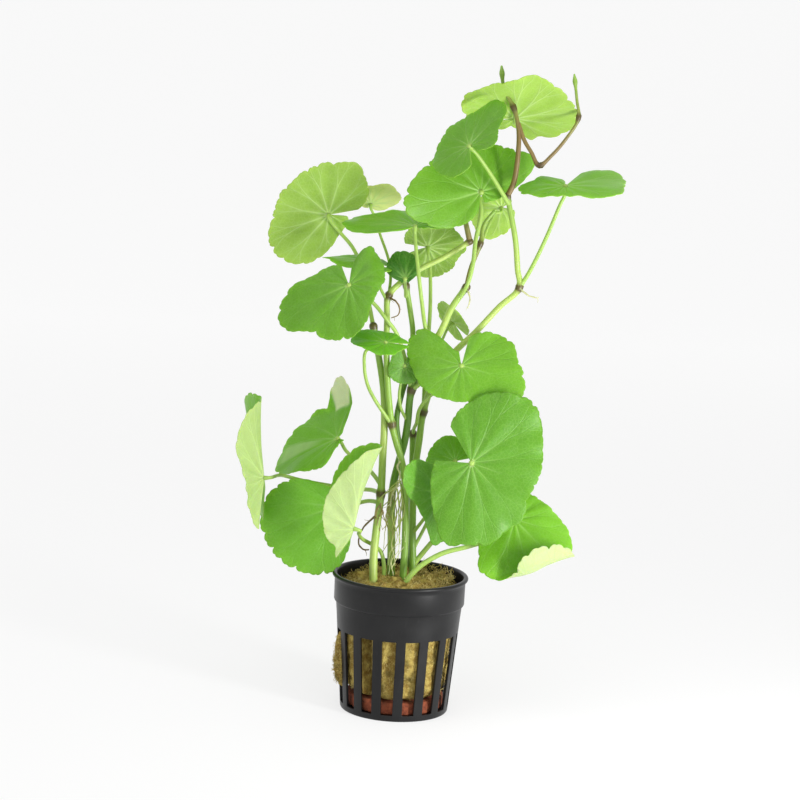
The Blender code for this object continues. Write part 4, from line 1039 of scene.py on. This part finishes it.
leaf("leaf_far_left", (-53.4, -7.5, 88.5), (100, 188, 104),
     (20, 14, 12, 15, 27, 31, 33, 24, 17, 19, 20),
     [(-49.6, -4, 88.6), (-48.6, 1.5, 88), (-46.5, 7, 87), (-40, 10, 85), (-30, 10.5, 83.5), (-20, 8, 83),
      (-13, 2, 84.2), (-9.2, -4.5, 84.5)],
     sinus=25, bends=((90, 0, 4, 38), (-90, 0, 4, 24)), teeth=24, seed=21, under=paint(166, 188, 118))
leaf("leaf_lower_right", (42, -8, 77.5), (30, 90, -60),
     (11, 12, 13, 14, 15, 18.5, 24.5, 24, 24, 28, 29, 29, 24.5, 21, 17, 14.5, 13, 12.5, 12, 11, 10),
     [(35, -7, 70), (25.5, -8, 66.5), (14.5, -9, 63), (5, -10, 56), (1, -10, 48.5), (0.5, -10, FOOT)],
     sinus=20, bends=((-12.5, 17.8, 2, 155),), teeth=22, seed=22, under=paint(172, 190, 132), veining=0.6,
     stalk_radii=(0.75, 1.1))
leaf("leaf_lower_left", (-26, 2, 77), (15, 90, 215),
     (7, 7, 11, 22, 29, 30, 28.5, 24.5, 13, 8, 7),
     [(-20.5, 4, 77.5), (-14, 1, 80), (-9.5, -5, 81)],
     sinus=35, teeth=24, seed=23, upper=paint(104, 160, 46), veining=0.5)
leaf("leaf_curled_front", (-18.5, -18.5, 73.2), (100, 170, 72),
     (13, 10, 11, 12, 13, 14.5, 16.5, 19, 22.5, 28, 33, 31, 27, 22, 18, 15.5, 14.5, 13.5, 12.5, 12, 14),
     [(-16.5, -12, 70), (-14.8, -5, 66.3), (-11, -2.5, 63.8), (-8, -2.5, 61.5), (-6.6, -2.5, 57),
      (-6.2, -2.5, 50), (-6.2, -2.5, FOOT)],
     sinus=25, bends=((90, 0, 3, 75), (-90, 0, 3, 65)), teeth=26, depth=0.035, seed=24,
     under=paint(168, 188, 126))


# The stage
# A white sweep, even studio light from all round, one large softbox over the left and a narrow one at the
# right that draws the streak on the pot. The camera stands nearly a metre off and looks down a little.

SWEEP_HALF = 1600.0
SWEEP_ROUND = 600.0
ROUND_FROM = 1100.0


def sweep_surface():
    """A level floor, a quarter round behind it and a wall, as rows of two points from left to right."""
    turn = np.radians(np.linspace(0, 90, 16))
    y = np.concatenate([[-1500, -600, 0, 600], ROUND_FROM + SWEEP_ROUND * np.sin(turn), [ROUND_FROM + SWEEP_ROUND]])
    z = np.concatenate([[0, 0, 0, 0], SWEEP_ROUND - SWEEP_ROUND * np.cos(turn), [1900]])
    left_to_right = np.tile([-SWEEP_HALF, SWEEP_HALF], (len(y), 1))
    points = np.stack([left_to_right, np.tile(y[:, None], (1, 2)), np.tile(z[:, None], (1, 2))], -1)
    return points.reshape(-1, 3), grid_faces(len(y), 2).reshape(-1, 4)


def white_paper():
    """White, with a light of its own that grows a little towards the wall, so that the sweep is evenly bright."""
    look, tree, shader = new_look("white_sweep", (0.3, 0.3, 0.3), 0.9)
    shader.inputs["Specular IOR Level"].default_value = 0.1
    shader.inputs["Emission Color"].default_value = (1.0, 1.0, 1.0, 1.0)
    place = node(tree, "ShaderNodeTexCoord").outputs["Object"]
    back = node(tree, "ShaderNodeSeparateXYZ", {"Vector": place}).outputs[1]
    glow = plus(tree, 0.67, times(tree, fade(tree, back, 0.1, 1.4), 0.05))
    tree.links.new(glow, shader.inputs["Emission Strength"])
    return look


floor = lay_mesh("floor", *sweep_surface(), [white_paper()], smooth=60.0)

world = bpy.data.worlds.new("studio")
world.use_nodes = True
sky = world.node_tree.nodes["Background"]
sky.inputs["Color"].default_value = (1.0, 1.0, 1.0, 1.0)
sky.inputs["Strength"].default_value = 0.6
bpy.context.scene.world = world


def softbox(name, place, aim, width, height, power):
    """A rectangular lamp at the place, in millimetres, that faces the aim."""
    lamp = bpy.data.lights.new(name, "AREA")
    lamp.shape = "RECTANGLE"
    lamp.size = width * MM
    lamp.size_y = height * MM
    lamp.energy = power
    holder = bpy.data.objects.new(name, lamp)
    holder.location = Vector(place) * MM
    holder.rotation_euler = (Vector(aim) - Vector(place)).to_track_quat("-Z", "Y").to_euler()
    holder.visible_camera = False
    bpy.context.scene.collection.objects.link(holder)


softbox("overhead", (-300, -420, 900), (0, 0, 120), 900, 700, 3.2)
softbox("side_strip", (223, -200, 80), (0, 0, 40), 50, 160, 0.9)

VIEW_TARGET = (-3.6, 0.0, 119.7)
VIEW_DISTANCE = 900.0
VIEW_DOWN = math.radians(9.07)
VIEW_ROLL = math.radians(2.96)
FOCAL_PIXELS = 2383.6
FRAME_PIXELS = 800
SENSOR = 36.0


def stand_camera():
    """The camera stands at its distance from the target, looks down on it and is turned about its own axis."""
    ahead = np.array([0.0, math.cos(VIEW_DOWN), -math.sin(VIEW_DOWN)])
    level = np.array([1.0, 0.0, 0.0])
    upward = np.array([0.0, math.sin(VIEW_DOWN), math.cos(VIEW_DOWN)])
    stand = np.eye(4)
    stand[:3, 0] = math.cos(VIEW_ROLL) * level + math.sin(VIEW_ROLL) * upward
    stand[:3, 1] = -math.sin(VIEW_ROLL) * level + math.cos(VIEW_ROLL) * upward
    stand[:3, 2] = -ahead
    stand[:3, 3] = (np.array(VIEW_TARGET) - VIEW_DISTANCE * ahead) * MM
    lens = bpy.data.cameras.new("camera")
    lens.sensor_width = SENSOR
    lens.sensor_fit = "HORIZONTAL"
    lens.lens = FOCAL_PIXELS * SENSOR / FRAME_PIXELS
    lens.clip_start = 0.05
    lens.clip_end = 10.0
    camera = bpy.data.objects.new("camera", lens)
    camera.matrix_world = Matrix(stand.tolist())
    bpy.context.scene.collection.objects.link(camera)
    bpy.context.scene.camera = camera


stand_camera()
bpy.context.scene.view_settings.view_transform = "Standard"

bpy.context.view_layer.update()
